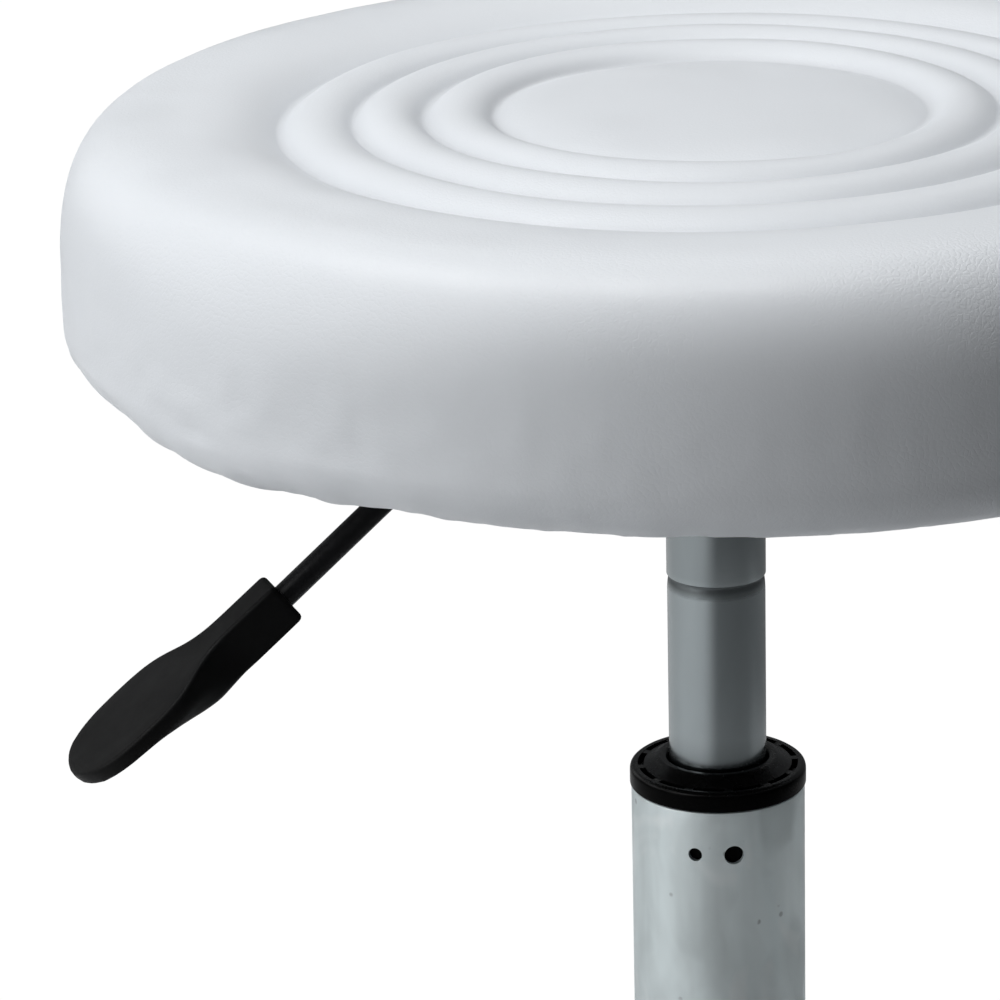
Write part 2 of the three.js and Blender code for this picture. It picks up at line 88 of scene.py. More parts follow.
def shade(part, sharp=35.0):
    """Smooth shading, with edges above `sharp` degrees marked sharp (0 marks none)."""
    mesh = part.data
    mesh.polygons.foreach_set("use_smooth", [True] * len(mesh.polygons))
    if sharp:
        mesh.set_sharp_from_angle(angle=math.radians(sharp))
    mesh.update()


def obj_from(name, verts, faces, turn=0.0):
    """A smooth mesh object from points in millimetres."""
    points = np.asarray(verts, float) * MM
    if turn:
        cos, sin = math.cos(turn), math.sin(turn)
        x, y, z = points.T
        points = np.stack([x * cos - y * sin, x * sin + y * cos, z], 1)
    mesh = bpy.data.meshes.new(name)
    mesh.from_pydata([tuple(p) for p in points], [], faces)
    mesh.update()
    part = new_object(name, mesh)
    shade(part, 0)
    return part


def outward(part):
    """Turn all face normals outwards."""
    bm = bmesh.new()
    bm.from_mesh(part.data)
    bmesh.ops.recalc_face_normals(bm, faces=bm.faces)
    if bm.calc_volume(signed=True) < 0:
        bmesh.ops.reverse_faces(bm, faces=bm.faces)
    bm.to_mesh(part.data)
    bm.free()
    part.data.update()
    return part


def coordinates(mesh):
    """Vertex positions in metres, as an array of rows."""
    flat = np.empty(len(mesh.vertices) * 3)
    mesh.vertices.foreach_get("co", flat)
    return flat.reshape(-1, 3)


def transform(part, matrix):
    part.data.transform(matrix)
    part.data.update()
    return part


def shift(x, y, z):
    """A move given in millimetres."""
    return Matrix.Translation((x * MM, y * MM, z * MM))


def spin(angle, axis):
    return Matrix.Rotation(angle, 4, axis)


Z_TO_X = spin(math.pi / 2, "Y")                # lays a part turned about Z along X


def modify(part, kind, **settings):
    modifier = part.modifiers.new(kind.lower(), kind)
    for key, value in settings.items():
        setattr(modifier, key, value)
    return modifier


def apply_mods(part):
    graph = bpy.context.evaluated_depsgraph_get()
    mesh = bpy.data.meshes.new_from_object(part.evaluated_get(graph))
    part.modifiers.clear()
    old = part.data
    part.data = mesh
    bpy.data.meshes.remove(old)
    shade(part, 0)


def boolean(part, tool, operation="DIFFERENCE"):
    """Combine a part with a tool, which is used up."""
    modify(part, "BOOLEAN", operation=operation, solver="EXACT", object=tool)
    apply_mods(part)
    remove(tool)


def join(name, parts):
    """Several shells in one object."""
    bm = bmesh.new()
    for part in parts:
        bm.from_mesh(part.data)
    mesh = bpy.data.meshes.new(name)
    bm.to_mesh(mesh)
    bm.free()
    for part in parts:
        remove(part)
    joined = new_object(name, mesh)
    shade(joined)
    return joined


def place(part, body, finish, node=None):
    """Give a part its finish, the body it rides on and the CAD node it replaces."""
    material, slot = FINISHES[finish]
    part.data.materials.clear()
    part.data.materials.append(material)
    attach(part, body)
    if node:
        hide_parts(node)


# ------------------------------------------------------------------ shapes
def angles(count):
    """Evenly spaced angles round a full turn."""
    return np.linspace(0, 2 * math.pi, count, endpoint=False)


def wrap(angle):
    """An angle brought into -pi to pi."""
    return (angle + math.pi) % (2 * math.pi) - math.pi


def gauss(x, width):
    return np.exp(-0.5 * (x / width) ** 2)


def table_at(x, table):
    """Value at x in a table of (x, value) stations."""
    return float(np.interp(x, *zip(*table)))


def arc_length(points):
    steps = np.linalg.norm(np.diff(points, axis=0), axis=1)
    return np.concatenate([[0], np.cumsum(steps)])


def ring(radius, z, theta, centre=(0, 0)):
    return np.stack([radius * np.cos(theta) + centre[0], radius * np.sin(theta) + centre[1],
                     np.broadcast_to(z, theta.shape)], 1)


def rounded(points, closed=False, steps=4):
    """Corner points (a, b, easing), easing 0 if left out, with each corner drawn as a curve."""
    corners = [tuple(p) + (0.0,) * (3 - len(p)) for p in points]
    out = []
    count = len(corners)
    for i, (x, y, easing) in enumerate(corners):
        if easing <= 0 or (not closed and i in (0, count - 1)):
            out.append((x, y))
            continue
        corner = np.array([x, y])
        before = np.array(corners[i - 1][:2])
        after = np.array(corners[(i + 1) % count][:2])
        reach_in = np.linalg.norm(before - corner)
        reach_out = np.linalg.norm(after - corner)
        start = corner + (before - corner) / reach_in * min(easing, reach_in * 0.48)
        end = corner + (after - corner) / reach_out * min(easing, reach_out * 0.48)
        for k in range(steps + 1):
            t = k / steps
            point = (1 - t) ** 2 * start + 2 * t * (1 - t) * corner + t * t * end
            out.append((float(point[0]), float(point[1])))
    return out


def grid_faces(rows, cols, wrap_rows=False, base=0):
    """Quads of a grid of rows x cols points, wrapped in the column direction."""
    faces = []
    for i in range(rows if wrap_rows else rows - 1):
        here, there = base + i * cols, base + ((i + 1) % rows) * cols
        for j in range(cols):
            k = (j + 1) % cols
            faces.append((here + j, here + k, there + k, there + j))
    return faces


def fan_faces(first_apex, last_apex, last_ring, cols):
    """Triangles from one apex to the ring at index 0 and from another to the ring at last_ring."""
    first = [(first_apex, (j + 1) % cols, j) for j in range(cols)]
    return first + [(last_apex, last_ring + j, last_ring + (j + 1) % cols) for j in range(cols)]


def revolve(name, profile, seg=128, sharp=0, turn=0.0, centre=(0, 0)):
    """Revolve (radius, z) points about Z. The profile meets the axis at both ends or is a loop."""
    solid = profile[0][0] < 1e-9
    stations = profile[1:-1] if solid else profile
    theta = angles(seg)
    verts = np.concatenate([ring(r, z, theta, centre) for r, z in stations])
    faces = grid_faces(len(stations), seg, wrap_rows=not solid)
    if solid:
        count = len(verts)
        verts = np.concatenate([verts, [(*centre, profile[0][1]), (*centre, profile[-1][1])]])
        faces += fan_faces(count, count + 1, count - seg, seg)
    part = outward(obj_from(name, verts, faces, turn=turn))
    shade(part, sharp)
    return part


def rod(name, radius, low, high, seg, centre=(0, 0), turn=0.0):
    """A plain cylinder along Z."""
    outline = [(0, low), (radius, low), (radius, high), (0, high)]
    return revolve(name, outline, seg, centre=centre, turn=turn)


def loft(name, sections, sharp=0, turn=0.0):
    """Join equal-length closed sections of 3-D points into one capped skin."""
    count = len(sections[0])
    last = (len(sections) - 1) * count
    faces = grid_faces(len(sections), count)
    faces += [tuple(range(count - 1, -1, -1)), tuple(range(last, last + count))]
    verts = [tuple(p) for section in sections for p in section]
    part = outward(obj_from(name, verts, faces, turn=turn))
    shade(part, sharp)
    return part


def block(name, corners):
    """A six-sided block from four corners and the four opposite them."""
    sides = [(3, 2, 1, 0), (4, 5, 6, 7), (0, 1, 5, 4), (1, 2, 6, 5), (2, 3, 7, 6), (3, 0, 4, 7)]
    return outward(obj_from(name, corners, sides))


def from_cad(name, node, width):
    """A copy of a flat-sided CAD node, coplanar triangles merged and edges bevelled by width."""
    mesh = frame["nodes"][node].data.copy()
    part = new_object(name, mesh)
    bm = bmesh.new()
    bm.from_mesh(mesh)
    bmesh.ops.remove_doubles(bm, verts=bm.verts, dist=1e-6)
    bmesh.ops.dissolve_limit(bm, angle_limit=math.radians(1.0), verts=bm.verts, edges=bm.edges)
    bm.to_mesh(mesh)
    bm.free()
    mesh.materials.clear()
    modify(part, "BEVEL", width=width * MM, segments=2, limit_method="ANGLE",
           angle_limit=math.radians(35), harden_normals=False)
    apply_mods(part)
    shade(part)
    return part


# ------------------------------------------------------------------ node graphs
def rgba(color):
    return (*color, 1) if isinstance(color, tuple) else color


class Graph:
    """Short-hand for wiring a node tree. A value may be a number, a tuple or a socket."""

    def __init__(self, owner):
        owner.use_nodes = True
        self.tree = owner.node_tree
        self.tree.nodes.clear()

    def feed(self, socket, value):
        if isinstance(value, bpy.types.NodeSocket):
            self.tree.links.new(value, socket)
        else:
            socket.default_value = value

    def node(self, kind, inputs=None, **settings):
        made = self.tree.nodes.new("ShaderNode" + kind)
        for key, value in settings.items():
            setattr(made, key, value)
        for key, value in (inputs or {}).items():
            self.feed(made.inputs[key], value)
        return made

    def math(self, operation, *values):
        return self.node("Math", dict(enumerate(values)), operation=operation).outputs[0]

    def times(self, first, second):
        return self.math("MULTIPLY", first, second)

    def plus(self, first, second):
        return self.math("ADD", first, second)

    def span(self, value, over, give=(0.0, 1.0), **settings):
        """Map the range `over` onto the range `give`."""
        return self.node("MapRange", {"From Min": over[0], "From Max": over[1],
                                      "To Min": give[0], "To Max": give[1], "Value": value},
                         **settings).outputs["Result"]

    def mix(self, factor, first, second, blend_type="MIX"):
        return self.node("Mix", {0: factor, 6: rgba(first), 7: rgba(second)},
                         data_type="RGBA", blend_type=blend_type).outputs[2]

    def mix_shaders(self, factor, first, second):
        return self.node("MixShader", {0: factor, 1: first, 2: second}).outputs[0]

    def split(self, vector):
        return self.node("SeparateXYZ", {0: vector}).outputs

    def ramp(self, factor, stops):
        """Colour ramp through (position, colour) stops."""
        made = self.node("ValToRGB", {0: factor})
        elements = made.color_ramp.elements
        while len(elements) > 1:
            elements.remove(elements[-1])
        for i, (position, color) in enumerate(stops):
            element = elements[0] if i == 0 else elements.new(position)
            element.position = position
            element.color = rgba(color)
        return made.outputs[0]


class Shader(Graph):
    """A material round one Principled surface. Its texture scales are per metre."""

    def __init__(self, name, color, roughness, metallic=0.0, ior=1.45):
        self.material = bpy.data.materials.new(name)
        super().__init__(self.material)
        output = self.node("OutputMaterial")
        self.surface = self.node("BsdfPrincipled")
        self.feed(output.inputs[0], self.surface.outputs[0])
        self.set(Base_Color=(*color, 1), Roughness=roughness, Metallic=metallic, IOR=ior)
        self.material.diffuse_color = (*color, 1)
        self.position = self.node("TexCoord").outputs["Object"]
        self.normal = None

    def set(self, **inputs):
        for key, value in inputs.items():
            self.feed(self.surface.inputs[key.replace("_", " ")], value)

    def coords(self, scale=(1, 1, 1), loc=(0, 0, 0), rot=(0, 0, 0)):
        return self.node("Mapping", {"Scale": scale, "Location": loc, "Rotation": rot,
                                     "Vector": self.position}).outputs[0]

    def noise(self, vector, scale, detail=2.0, roughness=0.5, distortion=0.0, output="Fac"):
        return self.node("TexNoise", {
            "Scale": scale, "Detail": detail, "Roughness": roughness,
            "Distortion": distortion, "Vector": vector}).outputs[output]

    def voronoi(self, vector, scale, feature="F1", randomness=1.0, smoothness=None):
        inputs = {"Scale": scale, "Randomness": randomness, "Vector": vector}
        if smoothness is not None:
            inputs["Smoothness"] = smoothness
        return self.node("TexVoronoi", inputs, feature=feature).outputs["Distance"]

    def attribute(self, name):
        return self.node("Attribute", attribute_name=name).outputs["Fac"]

    def bump(self, height, distance, strength):
        """Add a bump on top of those before it; distance is in metres."""
        made = self.node("Bump", {"Strength": strength, "Distance": distance, "Height": height})
        if self.normal is not None:
            self.feed(made.inputs["Normal"], self.normal)
        self.normal = made.outputs[0]
        self.set(Normal=self.normal)


# ------------------------------------------------------------------ materials
def leatherette():
    """Pebbled white skin with faint creases down its side, with painted shade darkening its pressed
    creases.
    """
    mat = Shader("leatherette_white", color=(0.80, 0.815, 0.84), roughness=0.46, ior=1.46)
    base = mat.coords()
    warp = mat.noise(base, scale=220, detail=1.0, output="Color")
    warp = mat.node("VectorMath", {"Scale": 0.0007, 0: warp}, operation="SCALE").outputs[0]
    warped = mat.node("VectorMath", {0: base, 1: warp}, operation="ADD").outputs[0]
    pebble = mat.voronoi(warped, scale=1050, feature="SMOOTH_F1", smoothness=0.35)
    cracks = mat.voronoi(warped, scale=620, feature="DISTANCE_TO_EDGE")
    cracks = mat.span(cracks, over=(0.0, 0.16))
    fine = mat.noise(base, scale=2600)

    # long creases that run down the side of the cushion
    unrolled = mat.node("CombineXYZ", {0: mat.attribute("theta"), 1: mat.attribute("along")})
    stretched = mat.node("Mapping", {"Scale": (0.42, 0.035, 1), "Vector": unrolled.outputs[0]})
    streak = mat.noise(stretched.outputs[0], scale=1.0, detail=3, roughness=0.6, distortion=0.3)
    streak = mat.span(streak, over=(0.62, 0.74))
    patch = mat.noise(mat.coords(loc=(3.1, 0.4, 2.2)), scale=14, detail=1)
    streak = mat.times(streak, mat.span(patch, over=(0.45, 0.65)))
    streak = mat.times(streak, mat.attribute("side"))

    grain = mat.plus(mat.times(pebble, -0.6), mat.times(cracks, 0.5))
    area_noise = mat.noise(mat.coords(loc=(1.3, 7.7, 0.2)), scale=9)
    depth = mat.span(area_noise, over=(0.3, 0.7), give=(0.35, 1.0))
    shoulder = mat.span(mat.attribute("shoulder"), over=(0.0, 1.0), give=(0.8, 1.9))
    grain = mat.times(grain, mat.times(depth, shoulder))
    mat.bump(grain, distance=0.00012, strength=0.42)
    mat.bump(fine, distance=0.00003, strength=0.35)
    mat.bump(streak, distance=0.00011, strength=-0.35)

    tone = mat.ramp(mat.noise(mat.coords(loc=(0.7, 0.1, 0.9)), scale=7),
                    [(0.3, (0.775, 0.806, 0.842)), (0.7, (0.802, 0.833, 0.869))])
    # painted shade: the base colour darkens in the pressed creases and in the valleys of the
    # gathers
    painted_crease_shade = mat.span(mat.attribute("crease_shade"), over=(0.0, 1.0), give=(0.0, 0.40))
    gloss = mat.noise(mat.coords(loc=(5, 5, 1)), scale=40, detail=3)
    mat.set(Base_Color=mat.mix(painted_crease_shade, tone, (0.60, 0.62, 0.65)),
            Roughness=mat.math("SUBTRACT", mat.span(gloss, over=(0.3, 0.7), give=(0.40, 0.52)),
                               mat.times(mat.attribute("shoulder"), 0.07)),
            Specular_IOR_Level=0.5)
    return mat.material


def black_nylon(name, base, roughness, gloss, top_gloss=None):
    """Moulded black plastic of brightness base; top_gloss is for the faces that look up."""
    mat = Shader(name, color=(base, base, base * 1.05), roughness=roughness, ior=1.5)
    mat.set(Specular_IOR_Level=gloss)
    plain = mat.coords()
    mat.bump(mat.noise(plain, scale=3200), distance=0.00004, strength=0.45)
    mat.bump(mat.noise(plain, scale=90), distance=0.00015, strength=0.12)
    smudge = mat.noise(mat.coords(loc=(2, 1, 4)), scale=60, detail=4, roughness=0.65)
    tone = mat.ramp(mat.noise(plain, scale=25),
                    [(0.3, (base * 0.8,) * 3), (0.75, (base * 1.35, base * 1.35, base * 1.45))])
    mat.set(Base_Color=tone,
            Roughness=mat.span(smudge, over=(0.25, 0.75),
                               give=(roughness - 0.07, roughness + 0.1)))
    if top_gloss is not None:
        upward = mat.split(mat.node("NewGeometry").outputs["Normal"])[2]
        mat.set(Specular_IOR_Level=mat.span(upward, over=(0.35, 0.75), give=(gloss, top_gloss)))
    return mat.material


def powder_black():
    mat = Shader("powder_coat_black", color=(0.012, 0.012, 0.013), roughness=0.38, ior=1.5)
    mat.bump(mat.noise(mat.coords(), scale=1500), distance=0.00003, strength=0.25)
    cloud = mat.noise(mat.coords(loc=(9, 1, 4)), scale=70, detail=4, roughness=0.6)
    mat.set(Specular_IOR_Level=0.2,
            Roughness=mat.span(cloud, over=(0.3, 0.7), give=(0.30, 0.46)),
            Base_Color=mat.ramp(cloud, [(0.3, (0.006, 0.006, 0.007)),
                                        (0.8, (0.011, 0.011, 0.012))]))
    return mat.material


def satin_metal(name, color, roughness, streak, blotch, tone, lines):
    """Polished metal: fine lines, soft blotches and smudges.

    streak is the line depth in metres, blotch the swing of roughness, tone the swing of
    brightness and lines the density of the lines along each axis.
    """
    mat = Shader(name, color, roughness, metallic=1.0)
    grain = mat.noise(mat.coords(scale=lines), scale=1.0, detail=3, roughness=0.6)
    mat.bump(grain, distance=streak, strength=0.6)
    smudge = mat.noise(mat.coords(loc=(3, 2, 1), scale=(1, 1, 0.45)),
                       scale=42, detail=4, roughness=0.62, distortion=0.4)
    cloud = mat.noise(mat.coords(loc=(8, 2, 5), scale=(1, 1, 0.5)),
                      scale=26, detail=3, roughness=0.6, distortion=0.6)
    dark = tuple(x * (1 - tone) for x in color)
    pale = tuple(min(1, x * (1 + tone)) for x in color)
    mat.set(Roughness=mat.span(smudge, over=(0.3, 0.72),
                               give=(roughness - blotch, roughness + blotch)),
            Base_Color=mat.ramp(cloud, [(0.32, dark), (0.68, pale)]))
    return mat.material


def drawn_metal(name, color, roughness, darkest, palest, spread):
    """Dull plated tube with faint vertical lines and handling marks.

    darkest and palest scale the colour, spread is the swing of roughness.
    Returns the shader with its colour and roughness sockets, not yet linked to the surface.
    """
    mat = Shader(name, color, roughness, metallic=1.0)
    drawn = mat.noise(mat.coords(scale=(260, 260, 9)), scale=1.0, detail=3, roughness=0.6)
    rings = mat.noise(mat.coords(scale=(7, 7, 1500)), scale=1.0)
    mat.bump(drawn, distance=0.00002, strength=0.35)
    mat.bump(rings, distance=0.000012, strength=0.4)
    smear = mat.noise(mat.coords(loc=(3, 2, 1), scale=(1, 1, 0.35)),
                      scale=55, detail=4, roughness=0.6, distortion=0.5)
    wide = mat.noise(mat.coords(loc=(6, 4, 1), scale=(1, 1, 0.5)),
                     scale=24, detail=3, roughness=0.6, distortion=0.9)
    tone = mat.ramp(wide, [(0.34, tuple(x * darkest for x in color)), (0.5, color),
                           (0.68, tuple(min(1, x * palest) for x in color))])
    rough = mat.span(smear, over=(0.3, 0.72), give=(roughness - spread, roughness + spread))
    streaks = mat.noise(mat.coords(loc=(2, 9, 3), scale=(120, 120, 4)), scale=1.0)
    streaks = mat.span(streaks, over=(0.35, 0.65), give=(0.955, 1.035))
    return mat, mat.mix(1.0, tone, streaks, "MULTIPLY"), rough


def cylinder_metal():
    """Satin steel with painted shade in its groove, and a dark band above the guide cap that is
    partly an oil film and partly painted contact shade. Heights in metres.
    """
    mat, tone, rough = drawn_metal("satin_cylinder", (0.345, 0.382, 0.394), 0.21,
                                   darkest=0.90, palest=1.05, spread=0.035)
    height = mat.split(mat.position)[2]
    # painted shade: the groove's colour is darkened, and its roughness raised
    groove_shade = mat.times(mat.span(height, over=(0.3196, 0.3222)),
                      mat.span(height, over=(0.3240, 0.3243), give=(1.0, 0.0)))
    tone = mat.mix(mat.times(groove_shade, 0.62), tone, (0.03, 0.032, 0.033))
    rough = mat.plus(rough, mat.times(groove_shade, 0.25))
    upper = mat.span(height, over=(0.3238, 0.3262))
    tone = mat.mix(mat.times(upper, 0.22), tone, (0.12, 0.13, 0.135))
    # dark band just above the guide cap: partly an oil film, partly painted contact shade where the
    # cylinder enters the cap
    ragged = mat.times(mat.noise(mat.coords(loc=(4, 4, 1)), scale=90), 0.003)
    grease_and_contact_shade = mat.span(mat.plus(height, ragged), over=(0.2680, 0.2790), give=(0.42, 0.0))
    grease_and_contact_shade = mat.times(grease_and_contact_shade, mat.span(height, over=(0.2600, 0.2660)))
    mat.set(Base_Color=mat.mix(grease_and_contact_shade, tone, (0.02, 0.022, 0.023)), Roughness=rough)
    return mat.material


def tube_metal():
    """Satin chrome with dark and pale clouds and sparse dark specks."""
    color = (0.79, 0.86, 0.87)
    mat, tone, rough = drawn_metal("satin_chrome_tube", color, 0.60,
                                   darkest=0.86, palest=1.08, spread=0.07)
    cloud = mat.noise(mat.coords(loc=(1.7, 0.4, 2.9), scale=(1, 1, 0.6)),
                      scale=34, distortion=1.4)
    cloud = mat.span(cloud, over=(0.56, 0.66))
    tone = mat.mix(mat.times(cloud, 0.30), tone, tuple(x * 0.70 for x in color))
    pale = mat.noise(mat.coords(loc=(4.7, 1.4, 0.9), scale=(1, 1, 0.6)),
                     scale=48, distortion=1.2)
    pale = mat.span(pale, over=(0.58, 0.68))
    tone = mat.mix(mat.times(pale, 0.25), tone, tuple(min(1, x * 1.25) for x in color))
    rough = mat.plus(rough, mat.times(cloud, 0.06))
    speck = mat.voronoi(mat.coords(loc=(0.3, 0.8, 0.1)), scale=150)
    speck = mat.span(speck, over=(0.10, 0.16), give=(1.0, 0.0))
    thin = mat.noise(mat.coords(loc=(8, 8, 8)), scale=60, detail=1)
    speck = mat.times(speck, mat.span(thin, over=(0.60, 0.64)))
    tone = mat.mix(mat.times(speck, 0.6), tone, tuple(x * 0.45 for x in color))
    mat.set(Base_Color=tone, Roughness=rough)
    return mat.material


def simple_metal(name, color, roughness):
    mat = Shader(name, color, roughness, metallic=1.0)
    smudge = mat.noise(mat.coords(), scale=300, detail=4, roughness=0.6)
    mat.bump(mat.noise(mat.coords(scale=(1, 1, 3)), scale=1400), distance=0.00002, strength=0.4)
    cloud = mat.noise(mat.coords(loc=(1, 1, 1)), scale=60, detail=3)
    mat.set(Roughness=mat.span(smudge, over=(0.3, 0.7),
                               give=(max(0.05, roughness - 0.08), roughness + 0.1)),
            Base_Color=mat.ramp(cloud, [(0.3, tuple(x * 0.9 for x in color)), (0.7, color)]))
    return mat.material


def rubber():
    base = 0.012
    mat = Shader("rubber_black", color=(base, base, base), roughness=0.7, ior=1.5)
    plain = mat.coords()
    mat.bump(mat.noise(plain, scale=1500, detail=3), distance=0.00005, strength=0.5)
    mat.set(Roughness=mat.span(mat.noise(plain, scale=80, detail=3),
                               over=(0.3, 0.7), give=(0.6, 0.82)),
            Base_Color=mat.ramp(mat.noise(plain, scale=30),
                                [(0.3, (base * 0.8,) * 3), (0.7, (base * 1.4,) * 3)]))
    return mat.material


def plywood():
    """Birch faces, with dark glue lines where the surface is upright."""
    ply_thickness = 0.0029  # metres
    mat = Shader("birch_plywood", color=(0.62, 0.46, 0.30), roughness=0.7)
    figure = mat.noise(mat.coords(scale=(6, 60, 60), rot=(0, 0, 0.3)),
                       scale=3, detail=5, roughness=0.6, distortion=1.2)
    face = mat.ramp(figure, [(0.3, (0.50, 0.34, 0.20)), (0.55, (0.63, 0.47, 0.31)),
                             (0.8, (0.70, 0.55, 0.38))])
    mat.bump(figure, distance=0.0002, strength=0.4)
    layer = mat.math("FRACT", mat.times(mat.split(mat.position)[2], 1 / ply_thickness))
    glue = mat.span(mat.math("ABSOLUTE", mat.math("SUBTRACT", layer, 0.5)),
                    over=(0.16, 0.26), give=(0.0, 0.55))
    upward = mat.split(mat.node("NewGeometry").outputs["Normal"])[2]
    edge = mat.span(mat.math("ABSOLUTE", upward), over=(0.3, 0.6), give=(1.0, 0.0))
    mat.set(Base_Color=mat.mix(mat.times(glue, edge), face, (0.33, 0.20, 0.11)))
    return mat.material


def cut_foam():
    mat = Shader("cut_foam", color=(0.80, 0.72, 0.50), roughness=0.9)
    cell = mat.voronoi(mat.coords(), scale=700)
    mat.bump(cell, distance=0.0004, strength=0.7)
    mat.set(Base_Color=mat.ramp(cell, [(0.1, (0.70, 0.61, 0.40)), (0.5, (0.84, 0.77, 0.56))]))
    return mat.material


def fleece():
    """Black cloth with a regular nap."""
    mat = Shader("dust_cloth_black", color=(0.014, 0.014, 0.016), roughness=0.92)
    weave = mat.voronoi(mat.coords(), scale=900, randomness=0.25)
    fibre = mat.noise(mat.coords(scale=(1, 3, 1)), scale=1800, detail=3, roughness=0.7)
    mat.bump(weave, distance=0.00025, strength=0.7)
    mat.bump(fibre, distance=0.00012, strength=0.5)
    mat.set(Base_Color=mat.ramp(fibre, [(0.3, (0.009, 0.009, 0.010)),
                                        (0.75, (0.028, 0.028, 0.031))]),
            Sheen_Weight=0.25, Sheen_Roughness=0.6)
    return mat.material


# finish: (material, slot name)
FINISHES = {
    "leather": (leatherette(), "white_leather"),
    "nylon": (black_nylon("nylon_black", base=0.0038, roughness=0.46, gloss=0.14),
              "black_plastic"),
    "cap": (black_nylon("cap_nylon", base=0.0019, roughness=0.25, gloss=0.02, top_gloss=0.42),
            "black_plastic"),
    "coat": (powder_black(), "black_paint"),
    "cylinder": (cylinder_metal(), "satin_steel"),
    "tube": (tube_metal(), "satin_chrome"),
    "alloy": (satin_metal("polished_alloy", (0.74, 0.75, 0.77), roughness=0.22, streak=0.00001,
                          blotch=0.05, tone=0.04, lines=(60, 60, 60)), "polished_alloy"),
    "rod": (satin_metal("hard_chrome_rod", (0.72, 0.73, 0.75), roughness=0.12, streak=0.000005,
                        blotch=0.03, tone=0.03, lines=(8, 8, 900)), "satin_chrome"),
    "steel": (simple_metal("turned_steel", (0.50, 0.50, 0.51), roughness=0.35), "steel"),
    "zinc": (simple_metal("zinc_plate", (0.62, 0.61, 0.57), roughness=0.32), "zinc_plate"),
    "brass": (simple_metal("turned_brass", (0.62, 0.47, 0.22), roughness=0.34), "brass"),
    "rubber": (rubber(), "rubber"),
    "plywood": (plywood(), "plywood"),
    "foam": (cut_foam(), "foam"),
    "fleece": (fleece(), "black_fleece"),
    "wheel": (black_nylon("wheel_nylon", base=0.012, roughness=0.38, gloss=0.5),
              "wheel_polymer"),
    "caster": (black_nylon("caster_nylon", base=0.010, roughness=0.42, gloss=0.5),
               "black_plastic"),
}

# ------------------------------------------------------------------ seat cover
SEAT_R = 181.0
EDGE_R, EDGE_DROP, EDGE_POWER = 146.0, 51.3, 3.33   # superellipse from the top into the side
LOW_REACH, LOW_RISE, LOW_POWER = 45.9, 20.7, 2.04   # superellipse from the side to the underside
CREASES = [(60.3, -4.6), (79.4, -4.7), (98.7, -5.5), (119.2, -6.9)]  # radius, height from top
CREASE_R = [radius for radius, _ in CREASES]
PANEL_BULGES = (4.5, 4.6, 4.6)                      # rise of the rings between the creases
HEM_R = 128.0
COVER_SEG = 400
CLOTH_ROWS, CLOTH_SEG, CLOTH_FRAMES = 52, 360, 20


def crease_gap(radius):
    """Distance to the nearest crease."""
    return np.abs(np.subtract.outer(radius, CREASE_R)).min(-1)


def top_height(radius):
    """Height of the pressed top face at a radius."""
    heights = [SEAT_TOP + height for _, height in CREASES]
    if radius <= CREASE_R[0]:
        u = radius / CREASE_R[0]
        return heights[0] + 3.1 * (1 - u ** 7) ** 0.8 + 0.55 * (1 - u * u)
    for i, bulge in enumerate(PANEL_BULGES):
        if radius <= CREASE_R[i + 1]:
            u = (radius - CREASE_R[i]) / (CREASE_R[i + 1] - CREASE_R[i])
            chord = heights[i] + (heights[i + 1] - heights[i]) * u
            return chord + bulge * (1 - abs(2 * u - 1) ** 2.3) ** 0.85
    u = min(1.0, (radius - CREASE_R[3]) / (EDGE_R - CREASE_R[3]))
    return heights[3] + (SEAT_TOP - heights[3]) * (1 - (1 - u) ** 2.4) ** 0.9


def quarter(count, power):
    """Points (sine, cosine) of a quarter superellipse."""
    steps = [(i / (count - 1)) * math.pi / 2 for i in range(count)]
    return [(math.sin(t) ** (2.0 / power), math.cos(t) ** (2.0 / power)) for t in steps]


def cover_profile():
    """Outer skin (radius, z) from the centre of the top over the side to the hem below."""
    radii = np.arange(0, EDGE_R, 0.25)
    heights = np.array([top_height(x) for x in radii])
    # blur the creases, mirroring the heights at the centre
    kernel = np.exp(-0.5 * (np.arange(-12, 13) * 0.25 / 0.8) ** 2)
    kernel /= kernel.sum()
    padded = np.concatenate([heights[12:0:-1], heights, np.full(12, heights[-1])])
    heights = np.convolve(padded, kernel, "valid")
    top = []
    radius = 0.0
    while radius < EDGE_R - 0.6:
        top.append((radius, float(np.interp(radius, radii, heights))))
        radius += 0.85 if crease_gap(radius) < 4 else (1.5 if 52 < radius < 132 else 2.6)
    edge = [(EDGE_R + (SEAT_R - EDGE_R) * sin, SEAT_TOP - EDGE_DROP + EDGE_DROP * cos)
            for sin, cos in quarter(60, EDGE_POWER)]
    low = [(SEAT_R - LOW_REACH + LOW_REACH * cos, SEAT_LOW + LOW_RISE - LOW_RISE * sin)
           for sin, cos in quarter(46, LOW_POWER)]
    hem = [(HEM_R + 4, SEAT_LOW), (HEM_R, SEAT_LOW)]
    return resample(np.array(top + edge + low + hem))


def resample(points):
    """Space the profile points closely at the creases and widely elsewhere."""
    arc = arc_length(points)
    out = [0.0]
    while out[-1] < arc[-1]:
        x = np.interp(out[-1], arc, points[:, 0])
        z = np.interp(out[-1], arc, points[:, 1])
        step = 1.75
        if z > SEAT_TOP - 12 and x < 134:
            step = 0.75 if crease_gap(x) < 3.5 else 1.35 if x > 50 else 3.0
        out.append(out[-1] + step)
    out = np.array(out[:-1] + [arc[-1]])
    return np.stack([np.interp(out, arc, points[:, 0]), np.interp(out, arc, points[:, 1])], 1)


def profile_normals(profile):
    """Outward normals of a profile that runs outwards and then down."""
    tangents = np.gradient(profile, axis=0)
    tangents /= np.linalg.norm(tangents, axis=1)[:, None]
    return np.stack([-tangents[:, 1], tangents[:, 0]], 1)


